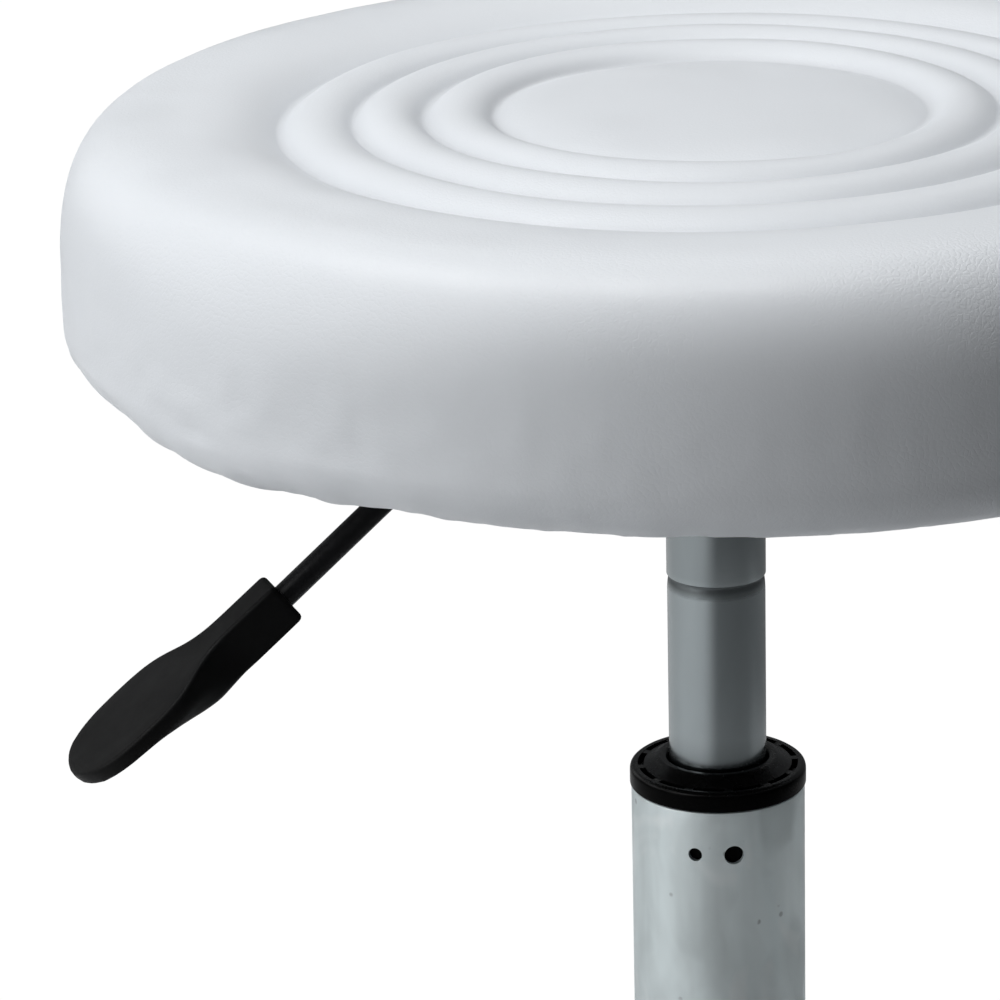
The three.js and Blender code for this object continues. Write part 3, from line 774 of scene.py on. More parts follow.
def pleats(theta, rng):
    """Depth of the gathers where the skin is pulled under, at each angle."""
    count = 62
    pitch = 2 * math.pi / count
    places = [(k + rng.uniform(-0.28, 0.28)) * 2 * math.pi / count for k in range(count)]
    depths = [rng.uniform(0.35, 1.0) for _ in range(count)]
    widths = [rng.uniform(0.9, 1.5) * pitch * 0.17 for _ in range(count)]
    valley = np.zeros_like(theta)
    for place_, depth, width in zip(places, depths, widths):
        valley += depth * gauss(wrap(theta - place_), width)
    return valley


def gather_swing(theta):
    """How strongly the skin is gathered round the seat: most at the front left."""
    swing = 0.26
    # angle and width in degrees, strength
    for angle, width, strength in ((226, 17, 0.85), (160, 40, 0.45), (40, 35, 0.45),
                                   (100, 30, 0.5), (308, 7, 0.35)):
        swing = swing + strength * gauss(wrap(theta - math.radians(angle)), math.radians(width))
    return swing


def cover_relief(theta, profile):
    """Offset along the outward normal by (profile point, angle), with the masks it is made of."""
    rng = random.Random(11)
    valley = pleats(theta, rng)
    radius, height = profile.T
    arc = arc_length(profile)
    low = np.clip((SEAT_LOW + 24 - height) / 24, 0, 1)
    low = low * low * (3 - 2 * low)
    wobble = np.zeros_like(theta)
    for k in range(2, 9):
        wobble += rng.uniform(-1, 1) / k ** 0.7 * np.cos(k * theta + rng.uniform(0, 6.28))
    relief = np.outer(low, (0.45 - 1.05 * valley) * gather_swing(theta))
    relief += np.outer(low, 0.22 * wobble)
    # soft upholstery unevenness over the whole cushion
    for k in range(14):
        waves, phase = rng.randint(1, 7), rng.uniform(0, 6.28)
        frequency, arc_phase = rng.uniform(0.008, 0.03), rng.uniform(0, 6.28)
        relief += 0.07 * np.outer(np.cos(frequency * 6.28 * arc + arc_phase),
                                  np.cos(waves * theta + phase))
    # shallow vertical undulation of the side wall
    side = gauss(height - (SEAT_LOW + 30), 13.0) * (radius > 170)
    fine = np.zeros_like(theta)
    for k in range(26):
        fine += rng.uniform(0.4, 1) * np.cos(rng.randint(55, 150) * theta + rng.uniform(0, 6.28))
    relief += np.outer(side, 0.010 * fine)
    relief *= np.clip((radius - 4.0) / 40.0, 0, 1)[:, None] ** 1.5
    return relief, low, valley


def pin_cloth(cloth, profile):
    """Vertex groups: pinned top, hem and staples, and the slack that lets the low side gather."""
    rng = random.Random(23)
    rows, seg = len(profile), CLOTH_SEG
    pinned = set(range(0, 2 * seg)) | set(range((rows - 1) * seg, rows * seg))
    staple_row = int(np.argmin(np.abs(profile[:, 0] - 137)
                               + 100 * (np.arange(rows) < rows // 2)))
    # staples under the seat, unevenly spaced round the hem
    at = 0.0
    while at < seg - 3:
        for neighbour in (-1, 0, 1):
            column = (int(round(at)) % seg + neighbour) % seg
            pinned.update(i * seg + column for i in range(staple_row, rows))
        at += rng.uniform(5.2, 9.0)
    cloth.vertex_groups.new(name="pin").add(sorted(pinned), 1.0, "REPLACE")
    slack = cloth.vertex_groups.new(name="slack")
    low = np.clip((SEAT_LOW + 30 - profile[:, 1]) / 30, 0, 1)
    for i in range(rows):
        slack.add(list(range(i * seg, (i + 1) * seg)), float(1.0 - low[i]), "REPLACE")


def run_cloth(cloth):
    """Blow the pinned cloth up under pressure and keep its last frame."""
    modifier = modify(cloth, "CLOTH")
    settings = dict(
        quality=6, mass=0.25, air_damping=2,
        tension_stiffness=18, compression_stiffness=12, shear_stiffness=6, bending_stiffness=0.4,
        vertex_group_mass="pin", vertex_group_shrink="slack",
        shrink_min=-0.05, shrink_max=-0.004,        # negative: the cloth grows
        use_pressure=True, uniform_pressure_force=4.0)
    for key, value in settings.items():
        setattr(modifier.settings, key, value)
    modifier.settings.effector_weights.gravity = 0.0
    modifier.collision_settings.use_self_collision = False
    modifier.collision_settings.use_collision = False
    modifier.point_cache.frame_start = 1
    modifier.point_cache.frame_end = CLOTH_FRAMES
    for number in range(1, CLOTH_FRAMES + 1):
        scene.frame_set(number)
    apply_mods(cloth)


def tucked_skin(fine):
    """Gathers of the side as simulated cloth: arc lengths, and heights by (arc, angle)."""
    start = int(np.argmax((fine[:, 0] > 124) & (np.arange(len(fine)) > 20)))
    part = fine[start:]
    arc = arc_length(part)
    rows = np.linspace(0, arc[-1], CLOTH_ROWS)
    profile = np.stack([np.interp(rows, arc, part[:, 0]), np.interp(rows, arc, part[:, 1])], 1)
    normals = profile_normals(profile)
    rows_arc = float(arc_length(fine)[start]) + rows
    theta = angles(CLOTH_SEG)
    inset = profile - normals * 1.6
    cloth = obj_from("cover_cloth", np.concatenate([ring(r, z, theta) for r, z in inset]),
                     grid_faces(CLOTH_ROWS, CLOTH_SEG))
    pin_cloth(cloth, profile)
    run_cloth(cloth)
    blown = coordinates(cloth.data).reshape(CLOTH_ROWS, CLOTH_SEG, 3) / MM
    remove(cloth)
    scene.frame_set(1)
    radius = np.hypot(blown[..., 0], blown[..., 1])
    offset = ((radius - profile[:, 0][:, None]) * normals[:, 0][:, None]
              + (blown[..., 2] - profile[:, 1][:, None]) * normals[:, 1][:, None])
    offset = np.nan_to_num(offset)
    offset -= offset.mean(axis=1, keepdims=True)
    return rows_arc, np.clip(offset, -3.0, 3.0)


def tuck_relief(profile, theta):
    """The simulated gathers brought onto the cover's own grid."""
    arc, tuck = tucked_skin(profile)
    source = np.append(angles(CLOTH_SEG), 2 * math.pi)
    closed = np.concatenate([tuck, tuck[:, :1]], 1)
    onto = np.stack([np.interp(theta, source, row) for row in closed])
    profile_arc = arc_length(profile)
    full = np.stack([np.interp(profile_arc, arc, column, left=0.0) for column in onto.T], 1)
    reach = np.clip((SEAT_LOW + 46 - profile[:, 1]) / 30, 0, 1)
    return 0.45 * full * gather_swing(theta) * (0.12 + 0.88 * reach)[:, None]


# inner face of the skin from the hem back to the axis: radius, height above SEAT_LOW
INNER_LOW = [(HEM_R, 1.2), (SEAT_R - LOW_REACH, 1.3), (150, 2.7), (163, 6.0), (172, 12),
             (178.2, 22)]
# and on over the top: radius, depth below SEAT_TOP
INNER_TOP = [(178.4, 45), (176, 22), (168, 9.5), (155, 4.5), (140, 3.6), (126, 8.6), (60, 8.6)]


def build_cover():
    profile = cover_profile()
    theta = angles(COVER_SEG)
    normals = profile_normals(profile)
    relief, low, valley = cover_relief(theta, profile)
    relief = relief + tuck_relief(profile, theta)
    R = profile[:, 0][:, None] + normals[:, 0][:, None] * relief
    Z = profile[:, 1][:, None] + normals[:, 1][:, None] * relief
    R[0] = 0
    R = np.minimum(R, SEAT_R + 1.2)
    outer = np.stack([R * np.cos(theta), R * np.sin(theta), Z], -1)[1:].reshape(-1, 3)
    inner = [(r, SEAT_LOW + z) for r, z in INNER_LOW] + [(r, SEAT_TOP - z) for r, z in INNER_TOP]
    verts = np.concatenate([outer] + [ring(r, z, theta) for r, z in inner]
                           + [[[0, 0, Z[0].mean()], [0, 0, SEAT_TOP - 8.6]]])
    rings = len(profile) - 1 + len(inner)
    count = rings * COVER_SEG
    faces = grid_faces(rings, COVER_SEG)
    faces += fan_faces(count, count + 1, count - COVER_SEG, COVER_SEG)
    cover = outward(obj_from("seat_cover_skin", verts, faces))
    shade(cover, 60)

    # masks and coordinates for the leatherette, zero on the inner face
    radius, height = profile[1:].T
    # painted shade mask for the creases of the top and the valleys of the gathers low on the side
    crease_shade = np.where(height > SEAT_TOP - 12, gauss(crease_gap(radius), 1.5), 0.0)
    masks = {
        "crease_shade": crease_shade[:, None] + 0.6 * low[1:, None] * np.clip(valley, 0, 1),
        "side": ((radius > 165) & (height < SEAT_TOP - 14)).astype(float)[:, None],
        "along": arc_length(profile)[1:, None],
        "theta": np.tile(theta * SEAT_R, (rings, 1)),
        "shoulder": np.where(height > SEAT_TOP - 22, gauss(radius - 163, 8), 0.0)[:, None],
    }
    for name, mask in masks.items():
        values = np.zeros(len(verts), np.float32)
        filled = np.broadcast_to(mask, (len(mask), COVER_SEG)).ravel()
        values[:len(filled)] = filled
        cover.data.attributes.new(name, "FLOAT", "POINT").data.foreach_set("value", values)
    return cover


place(build_cover(), "seat", "leather", "seat_cover")

# ------------------------------------------------------------------ gas spring and column
# Revolved outlines below list (radius, z, corner easing).
GAS_CYLINDER = [
    (6.5, 148), (12.8, 148, 0.5), (14, 149.2, 0.8), (14, 319.4), (13.95, 320.6, 0.8),
    (13.80, 322.3, 0.8), (13.55, 323.2, 0.3), (13.55, 323.9, 0.3), (14.15, 324.1, 0.15),
    (14.15, 343, 1.0), (13.45, 358.6, 0.3), (13.1, 359, 0.3), (12.3, 359, 0.3),
    (12, 358.6, 0.3), (12, 324.6), (11.65, 322.4), (12.5, 320), (12.5, 149.7), (6.5, 149.7)]
place(revolve("gas_cylinder_body", rounded(GAS_CYLINDER, closed=True), 160, sharp=35, turn=TURN),
      "seat", "cylinder", "gas_cylinder")

TUBE_R, TUBE_WALL = 25.0, 1.5
TUBE_BORE = TUBE_R - TUBE_WALL
PUNCH_Z = 247
PUNCHES = ((2.8, 10.2), (2.0, -15.5))          # hole radius, degrees round from the front


def outer_tube():
    """Column tube, slightly narrower at its foot, with two holes near the top at the front."""
    def radius(z):
        return TUBE_R - 0.9 * min(1, max(0, (130 - z) / 70))

    outline = [(5.5, 60), (radius(60) - 1, 60), (radius(60), 61), (radius(90), 90), (TUBE_R, 130)]
    outline += [(TUBE_R, z) for z in np.arange(140, 236, 12)]
    outline += [(TUBE_R, z) for z in np.arange(238, 257, 1.0)]
    outline += [(TUBE_R, 259.3), (24.9, 259.8), (24.6, 260), (23.9, 260), (TUBE_BORE, 259.6)]
    outline += [(TUBE_BORE, z) for z in np.arange(256, 237, -1.0)]
    outline += [(TUBE_BORE, 130), (radius(64) - TUBE_WALL, 64), (5.5, 64)]
    tube = revolve("outer_tube_shell", outline, 240)
    for hole_r, angle in PUNCHES:
        punch = rod("punch", hole_r, 20, 30, 40)
        for step in (Z_TO_X, spin(math.radians(-90 + angle), "Z"), shift(0, 0, PUNCH_Z)):
            transform(punch, step)
        boolean(tube, punch)
    shade(tube, 30)
    return tube


place(outer_tube(), "base", "tube", "outer_tube")


def guide_bush():
    """Moulded cap and guide sleeve; a ring of arc pockets runs round its top face."""
    theta = angles(288)
    bore, pockets, pocket_depth = 14.45, 12, 1.9
    along = ((theta - math.radians(8)) / (2 * math.pi) * pockets) % 1.0
    is_pocket = (along > 0.11) & (along < 0.86)
    sleeve = rounded([(bore, 190), (22.3, 190, 0.4), (23.1, 191.5, 0.6), (23.1, 260.3),
                      (25.4, 260.3, 0.3), (25.4, 265.2, 1.3), (24.3, 266.0, 0.5)])
    # radius, z, 1 where the pockets sink
    pocket_band = [(23.3, 266.0, 0), (23.1, 265.95, 0), (22.95, 265.8, 1),
                   (21.5, 265.8, 1), (21.3, 265.95, 0), (21.0, 266.1, 0)]
    collar = rounded([(20.6, 266.2, 0.3), (17.6, 268.1, 0.5), (16.8, 268.5, 0.4),
                      (15.2, 268.5, 0.5), (bore, 267.6, 0.3), (bore, 230)])
    rings = [ring(r, z, theta) for r, z in sleeve]
    rings += [ring(r, np.where(is_pocket, z - pocket_depth * sunk, z), theta)
              for r, z, sunk in pocket_band]
    rings += [ring(r, z, theta) for r, z in collar]
    faces = grid_faces(len(rings), len(theta), wrap_rows=True)
    bush = outward(obj_from("guide_bush_cap", np.concatenate(rings), faces))
    shade(bush, 38)
    return bush


place(guide_bush(), "base", "cap", "guide_bush")


def taper_socket():
    """Cup on the cylinder's taper, slotted on the lever side."""
    outline = [(14.45, 343, 0.3), (18, 343, 0.4), (19, 344, 0.6), (19, 381.9, 0.3), (18.6, 382.3),
               (14.5, 382.3, 0.2), (14.2, 382.0), (14.2, 361), (13.8, 359.4)]
    cup = revolve("taper_socket_cup", rounded(outline, closed=True))
    half = 4.25
    slot = block("slot_cut", [(x, y, z) for z in (364.5, 390) for x, y in
                              ((-30, -half), (-5, -half), (-5, half), (-30, half))])
    boolean(cup, slot)
    shade(cup, 30)
    return transform(cup, spin(TURN, "Z"))


place(taper_socket(), "seat", "coat", "taper_socket")

# ------------------------------------------------------------------ lever
LEVER_Z = 371.8                                # the rod's level part
ROD_R = 3.5
BEND_CORNER = np.array([-82.4, 0, LEVER_Z])
BEND_REACH = 9.0
HANDLE_START = np.array([-128.4, 0, 334.9])
SIDEWAYS = np.array([0, 1.0, 0])
LEVER_PIVOT = spin(TURN, "Z") @ shift(-30, 0, LEVER_Z) @ spin(math.pi / 2, "X")


def slope_axes(degrees):
    """Unit vectors down a slope towards -X and square to it, upwards."""
    cos, sin = math.cos(math.radians(degrees)), math.sin(math.radians(degrees))
    return np.array([-cos, 0, -sin]), np.array([-sin, 0, cos])


ROD_DOWN, ROD_UP = slope_axes(38.8)
HANDLE_DOWN, HANDLE_UP = slope_axes(38.2)


def lever_rod():
    path = [np.array([x, 0, LEVER_Z]) for x in (5.6, 5.0, -10, -30, -55, -72)]
    bend_in = BEND_CORNER + np.array([BEND_REACH, 0, 0])
    bend_out = BEND_CORNER + BEND_REACH * ROD_DOWN
    end = HANDLE_START + 18.3 * ROD_DOWN
    for k in range(13):
        t = k / 12
        path.append((1 - t) ** 2 * bend_in + 2 * t * (1 - t) * BEND_CORNER + t * t * bend_out)
    path += [bend_out + (end - bend_out) * k / 8 for k in range(1, 9)]
    tangents = np.gradient(np.array(path), axis=0)
    tangents /= np.linalg.norm(tangents, axis=1)[:, None]
    sections = []
    for i, (point, tangent) in enumerate(zip(path, tangents)):
        up = np.cross(tangent, SIDEWAYS)
        radius = ROD_R if 0 < i < len(path) - 1 else 3.0
        sections.append([point + radius * (math.cos(a) * SIDEWAYS + math.sin(a) * up)
                         for a in angles(32)])
    lever = loft("lever_rod_bent", sections, sharp=35, turn=TURN)
    boolean(lever, transform(rod("hole", 2.05, -8, 8, 32), LEVER_PIVOT))
    shade(lever, 35)
    return lever


place(lever_rod(), "lever", "coat", "lever_rod")

# handle stations: distance along it, value
HANDLE_HALF_WIDTH = [
    (0, 5.75), (17, 5.75), (21, 6.0), (25, 6.9), (29, 8.7), (32, 10.8), (35, 12.9), (38, 14.5),
    (42, 15.8), (47, 16.4), (53, 16.5), (60, 16.1), (64, 15.1), (67, 13.9), (70, 11.9),
    (72, 9.8), (73.6, 7.4), (74.7, 4.9), (75.3, 2.0)]
KEEL_HALF_WIDTH = [
    (0, 5.75), (17, 5.6), (22, 5.9), (27, 7.2), (31, 8.6), (36, 9.6), (41, 11.2), (46, 13.6),
    (50, 15.0), (55, 15.6), (60, 15.3), (64, 14.3), (67, 13.1), (70, 11.1), (72, 9.0),
    (73.6, 6.6), (74.7, 4.2), (75.3, 1.6)]
KEEL_HEIGHT = [
    (0, -6.25), (12, -6.4), (22, -6.55), (28, -6.5), (32, -6.1), (35, -5.4), (38, -4.4),
    (42, -2.7), (46, -0.9), (50, 0.6), (54, 1.25), (58, 1.45), (66, 1.35), (70, 1.3),
    (73, 1.7), (74.6, 2.6), (75.3, 3.6)]
WALL_HEIGHT = [(0, 12.5), (18, 12.4), (24, 10.0), (30, 7.0), (36, 5.2), (44, 4.4), (52, 4.0),
               (75.3, 2.6)]
HANDLE_TOP = 6.7


def handle_at(along, table):
    """Table value, averaged over its neighbourhood away from the ends."""
    if not 4 < along < 68:
        return table_at(along, table)
    return sum(table_at(along + offset, table) * weight
               for offset, weight in ((-2, 0.1), (-1, 0.2), (0, 0.4), (1, 0.2), (2, 0.1)))


def handle_section(along):
    """Outline across the handle: a flat, slightly dished top and a rounded keel."""
    half, keel_half, keel, wall = (handle_at(along, table) for table in (
        HANDLE_HALF_WIDTH, KEEL_HALF_WIDTH, KEEL_HEIGHT, WALL_HEIGHT))
    ease = 0.0
    if along < 1.6:
        ease = 1.0 * (1 - math.sqrt(max(0, 1 - (1 - along / 1.6) ** 2)))
    half, keel_half = half - ease, keel_half - ease
    top = HANDLE_TOP - ease
    if along > 70:
        top -= 1.5 * ((along - 70) / 5.3) ** 3
    bottom = keel + ease
    middle = max(bottom + 0.6, top - wall)
    corner = min(1.5, 0.3 * (top - bottom))
    dish = 0.28 * math.exp(-0.5 * ((along - 54) / 11) ** 2)
    outline = rounded([
        (-half, top, corner), (-half * 0.5, top - dish, 2.5), (half * 0.5, top - dish, 2.5),
        (half, top, corner), (half, middle, corner + 0.6), (keel_half, bottom, corner + 1.0),
        (0, bottom - 0.15, 1.0), (-keel_half, bottom, corner + 1.0),
        (-half, middle, corner + 0.6)], closed=True, steps=5)
    return [HANDLE_START + HANDLE_DOWN * along + SIDEWAYS * a + HANDLE_UP * b for a, b in outline]


def lever_handle():
    """Square collar that opens into a flat paddle, with a blind bore for the rod."""
    stations = np.concatenate([[0, 0.25, 0.8, 1.6], np.linspace(3, 70, 46),
                               [71.2, 72.3, 73.2, 74.0, 74.6, 75.0, 75.3]])
    outside = [handle_section(along) for along in stations]
    mouth = np.array(outside[0]) - HANDLE_START
    around = np.arctan2(mouth @ ROD_UP, mouth @ SIDEWAYS)
    bore = [[HANDLE_START + ROD_DOWN * depth
             + radius * (math.cos(a) * SIDEWAYS + math.sin(a) * ROD_UP) for a in around]
            for depth, radius in ((19.5, 0.05), (19.5, 3.9), (0.5, 3.9), (0.1, 4.2))]
    handle = loft("lever_handle_paddle", bore + outside, turn=TURN)
    shade(handle, 50)
    return handle


place(lever_handle(), "lever", "nylon", "lever_handle")

# ------------------------------------------------------------------ seat mounting and underside
place(from_cad("seat_plate_pressed", "seat_plate", width=0.5), "seat", "coat", "seat_plate")
place(from_cad("lever_bracket_folded", "lever_bracket", width=0.35),
      "seat", "coat", "lever_bracket")

PIVOT_PIN = [(0, -11), (3, -11, 0.6), (3, -8.9, 0.2), (1.75, -8.9), (1.75, 8.9), (2.6, 8.9, 0.2),
             (2.6, 10, 0.5), (0, 10)]
place(transform(revolve("lever_pin", rounded(PIVOT_PIN), 48, sharp=35), LEVER_PIVOT),
      "seat", "zinc", "lever_pivot_pin")

BOLT_OFFSET = 57                               # from the axis, before the seat's turn
BOLT_PLACES = [(BOLT_OFFSET * a, BOLT_OFFSET * b) for a, b in ((1, 1), (-1, 1), (-1, -1), (1, -1))]
BOLT_SHANK = [(0, 382.0), (4.8, 382.0, 0.1), (4.8, 382.2, 0.1), (3, 382.3), (3, 397.4, 0.3),
              (2.5, 398), (0, 398)]
TEE_NUT = [(3.35, 390.5), (4.2, 390.5, 0.2), (4.2, 400.3), (9.5, 400.3, 0.2), (9.5, 401.5, 0.3),
           (3.35, 401.5, 0.2)]
HEX_R = 5.6                                    # across the corners, from the centre


def plate_bolt(number, x, y):
    """A hex bolt through the seat plate and its flanged nut."""
    cos, sin = math.cos(TURN), math.sin(TURN)
    centre = (x * cos - y * sin, x * sin + y * cos)
    shank = revolve("shank", rounded(BOLT_SHANK), 40, sharp=35, centre=centre)
    corners = [(HEX_R * math.cos(k * math.pi / 3 + TURN), HEX_R * math.sin(k * math.pi / 3 + TURN))
               for k in range(6)]
    # z and size of the head's sections
    head = loft("hex", [[(centre[0] + p * size, centre[1] + q * size, z) for p, q in corners]
                        for z, size in ((378.2, 1 - 0.06), (378.6, 1), (382.05, 1))])
    place(join(f"plate_bolt_hex_{number}", [shank, head]), "seat", "zinc", f"plate_bolt_{number}")
    nut = revolve(f"tee_nut_flanged_{number}", rounded(TEE_NUT, closed=True), 48,
                  sharp=35, centre=centre)
    place(nut, "seat", "zinc", f"tee_nut_{number}")


for number, (x, y) in enumerate(BOLT_PLACES, 1):
    plate_bolt(number, x, y)


def bolt_holes(radius, low, high, seg):
    """Cutting tool for the four bolt holes."""
    return join("holes", [rod("hole", radius, low, high, seg, centre=spot, turn=TURN)
                          for spot in BOLT_PLACES])


STAPLES = 36
CLOTH_RINGS = [12, 40, 66, 84, 100, 114, 126, 133, 138, 141, 144, 146.5]  # radii


def dust_cover(rng, staple_angles):
    """Black cloth under the board: an edge that is not quite round, puckered at its staples."""
    theta = angles(288)
    cols, rows = len(theta), len(CLOTH_RINGS)
    near_staple = np.max([gauss(wrap(theta - a), 0.022) for a in staple_angles], axis=0)
    wave = sum(rng.uniform(0.2, 0.5) * np.cos(k * theta + rng.uniform(0, 6.28))
               for k in (3, 5, 7, 11, 17))
    rings = []
    # offset of the lower and upper face, and the heights each is kept between
    for offset, floor_z, ceiling_z in ((0.0, 385.3, 386.0), (0.38, 385.35, 386.42)):
        for radius in CLOTH_RINGS:
            edge = max(0.0, (radius - 126) / 20.5)
            sag = 0.10 * np.cos(6 * theta + radius * 0.05) * (1 - edge) * (radius / 146)
            hang = 0.30 * edge * (1 - near_staple) * (0.5 + 0.5 * np.cos(STAPLES * theta))
            height = np.clip(385.95 - hang + sag * 0.5 + offset, floor_z, ceiling_z)
            rings.append(ring(radius + wave * edge * 0.8, height, theta))
    upper, rim = rows * cols, (rows - 1) * cols
    faces = grid_faces(rows, cols)
    faces += [tuple(reversed(quad)) for quad in grid_faces(rows, cols, base=upper)]
    for j in range(cols):
        k = (j + 1) % cols
        faces.append((rim + j, rim + k, upper + rim + k, upper + rim + j))
    faces += fan_faces(2 * upper, 2 * upper + 1, upper, cols)
    verts = np.concatenate(rings + [[[0, 0, 385.9], [0, 0, 386.3]]])
    cloth = outward(obj_from("dust_cover_cloth", verts, faces, turn=TURN))
    boolean(cloth, bolt_holes(3.6, 380, 390, 32))
    shade(cloth, 50)
    return cloth


def staple_wires(rng, staple_angles):
    """Flat wire staples round the edge of the cloth, each a little askew, legs up."""
    half, half_width, half_thick = 4.8, 0.55, 0.28
    up = np.array([0, 0, 1.0])
    wires = []
    for angle in staple_angles:
        tilted = angle + rng.uniform(-0.25, 0.25)
        centre = np.array([141.0 * math.cos(angle), 141.0 * math.sin(angle), 385.5])
        along = np.array([-math.sin(tilted), math.cos(tilted), 0.0])
        across = np.array([math.cos(tilted), math.sin(tilted), 0.0])
        # distance along the staple, rise, outer direction of the wire
        stations = ((half, 6.0, along), (half, 0.3, (along - up) / 1.414), (4.4, 0, -up),
                    (-4.4, 0, -up), (-half, 0.3, (-along - up) / 1.414), (-half, 6.0, -along))
        wires.append(loft("wire", [
            [centre + along * reach + up * rise + half_width * side * across
             + half_thick * depth * out for side, depth in ((-1, -1), (1, -1), (1, 1), (-1, 1))]
            for reach, rise, out in stations], turn=TURN))
    return join("dust_cover_staples", wires)


cloth_rng = random.Random(5)
staple_angles = [(k + cloth_rng.uniform(-0.2, 0.2)) * 2 * math.pi / STAPLES
                 for k in range(STAPLES)]
place(dust_cover(cloth_rng, staple_angles), "seat", "fleece", "dust_cover")
place(staple_wires(cloth_rng, staple_angles), "seat", "steel")

SEAT_FOAM = [
    (0, 400.15), (163.2, 400.15), (163.2, 393.4), (165.5, 394.4), (171.2, 399.8, 2),
    (177, 409.4, 3), (177.4, 417, 3), (175.2, 440, 6), (167.4, 452.2, 6), (155, 457.0, 5),
    (140, 457.8, 5), (126.5, 453.4, 3), (0, 453.4)]
place(revolve("seat_foam_cut", rounded(SEAT_FOAM), 160, sharp=35), "seat", "foam", "seat_foam")

SEAT_BOARD = [
    (0, 388.4), (141, 388.4, 0.6), (152, 390.2, 2), (162.6, 393.0, 0.8), (163, 394.4, 0.8),
    (163, 399.2, 0.8), (162.2, 400, 0.4), (0, 400)]
board = revolve("seat_board_ply", rounded(SEAT_BOARD), 180)
boolean(board, bolt_holes(4.5, 380, 410, 40))
shade(board, 40)
place(board, "seat", "plywood", "seat_board")

# ------------------------------------------------------------------ inside the column
RACE_R = 8.8                                   # ball track radius
BALL_R, BALL_Z, BALLS = 1.78, 68.4, 12


def turned(name, node, body, finish, outline):
    """A turned part; an outline that keeps off the axis is closed into a ring."""
    closed = outline[0][0] > 1e-9
    place(revolve(name, rounded(outline, closed=closed), 96, sharp=35), body, finish, node)


turned("bearing_washer_lower_ground", "bearing_washer_lower", "base", "steel", [
    (5.6, 64.3, 0.25), (12, 64.3, 0.25), (12, 66.3, 0.25), (RACE_R + 1.3, 66.3, 0.1),
    (RACE_R + 0.7, 65.95, 0.3), (RACE_R, 65.85, 0.3), (RACE_R - 0.7, 65.95, 0.3),
    (RACE_R - 1.3, 66.3, 0.1), (5.6, 66.3, 0.25)])
turned("bearing_washer_upper_ground", "bearing_washer_upper", "piston", "steel", [
    (5.4, 70.5, 0.25), (RACE_R - 1.3, 70.5, 0.1), (RACE_R - 0.7, 70.85, 0.3),
    (RACE_R, 70.95, 0.3), (RACE_R + 0.7, 70.85, 0.3), (RACE_R + 1.3, 70.5, 0.1),
    (12, 70.5, 0.25), (12, 72.5, 0.25), (5.4, 72.5, 0.25)])


def ball_cage():
    outline = [(6, 67.5, 0.2), (11.6, 67.5, 0.2), (11.6, 69.3, 0.2), (6, 69.3, 0.2)]
    cage = revolve("ball_cage_assembled", rounded(outline, closed=True), 120)
    steps = 14
    arc = [(BALL_R * math.sin(math.pi * i / steps), BALL_Z - BALL_R * math.cos(math.pi * i / steps))
           for i in range(1, steps)]
    half_circle = [(0, BALL_Z - BALL_R)] + arc + [(0, BALL_Z + BALL_R)]
    balls = []
    for k in range(BALLS):
        angle = 2 * math.pi * k / BALLS
        centre = (RACE_R * math.cos(angle), RACE_R * math.sin(angle))
        balls.append(revolve("ball", half_circle, 24, centre=centre))
    boolean(cage, join("balls", balls), "UNION")
    shade(cage, 40)
    return cage


place(ball_cage(), "cage", "brass", "ball_cage")
turned("rubber_bumper_moulded", "rubber_bumper", "piston", "rubber", [
    (5.5, 73, 0.2), (10.6, 73, 0.6), (11.4, 74.2, 0.8), (11.4, 75.6, 0.8), (10.4, 77.0, 0.6),
    (11.0, 78.6, 0.8), (10.9, 80.2, 0.8), (9.9, 83, 0.9), (5.5, 83, 0.3)])
turned("clip_washer_stamped", "clip_washer", "base", "zinc", [
    (5.6, 57.3, 0.25), (12.5, 57.3, 0.3), (12.5, 58.8, 0.15), (5.6, 58.8, 0.15)])


def retaining_clip():
    """Flat ring, open towards +X."""
    outline = [(4.6, 55.5, 0.15), (8, 55.5, 0.15), (8, 56.8, 0.3), (4.6, 56.8, 0.3)]
    clip = revolve("retaining_clip_stamped", rounded(outline, closed=True), 120)
    boolean(clip, block("gap", [(x, y, z) for z in (50, 60) for x, y in
                                ((3.0, -3.1), (10, -3.4), (10, 3.4), (3.0, 3.1))]))
    shade(clip, 30)
    return clip


place(retaining_clip(), "piston", "steel", "retaining_clip")
turned("piston_rod_ground", "piston_rod", "piston", "rod", [
    (0, 50), (4.4, 50, 0.2), (5, 50.8, 0.2), (5, 55.1, 0.1), (4.2, 55.15, 0.1),
    (4.2, 57.15, 0.1), (5, 57.2, 0.1), (5, 210.9, 0.3), (4.4, 211.5, 0.2), (0, 211.5)])
turned("piston_head_turned", "piston_head", "piston", "steel", [
    (0, 211.9), (5.4, 211.9, 0.1), (5.4, 206, 0.3), (9.3, 206, 0.3), (9.9, 206.8, 0.3),
    (9.9, 209.2, 0.15), (9.0, 209.35, 0.1), (9.0, 212.4, 0.1), (9.9, 212.55, 0.15),
    (9.9, 215.2, 0.3), (9.2, 216, 0.3), (0, 216)])
turned("rod_guide_turned", "rod_guide", "seat", "nylon", [
    (5.4, 150.2, 0.3), (11.5, 150.2, 0.3), (12.1, 150.9, 0.3), (12.1, 154.4, 0.2),
    (11.2, 154.6, 0.2), (11.2, 156.8, 0.2), (12.1, 157, 0.2), (12.1, 160.6, 0.2),
    (11.2, 160.8, 0.2), (11.2, 163, 0.2), (12.1, 163.2, 0.2), (12.1, 165, 0.3),
    (11.6, 165.5, 0.2), (6.2, 165.5, 0.3), (5.4, 164.6, 0.3)])
turned("pressure_tube_drawn", "pressure_tube", "seat", "steel", [
    (10.3, 166, 0.2), (11.2, 166, 0.3), (11.2, 321, 0.3), (10.3, 321, 0.2)])
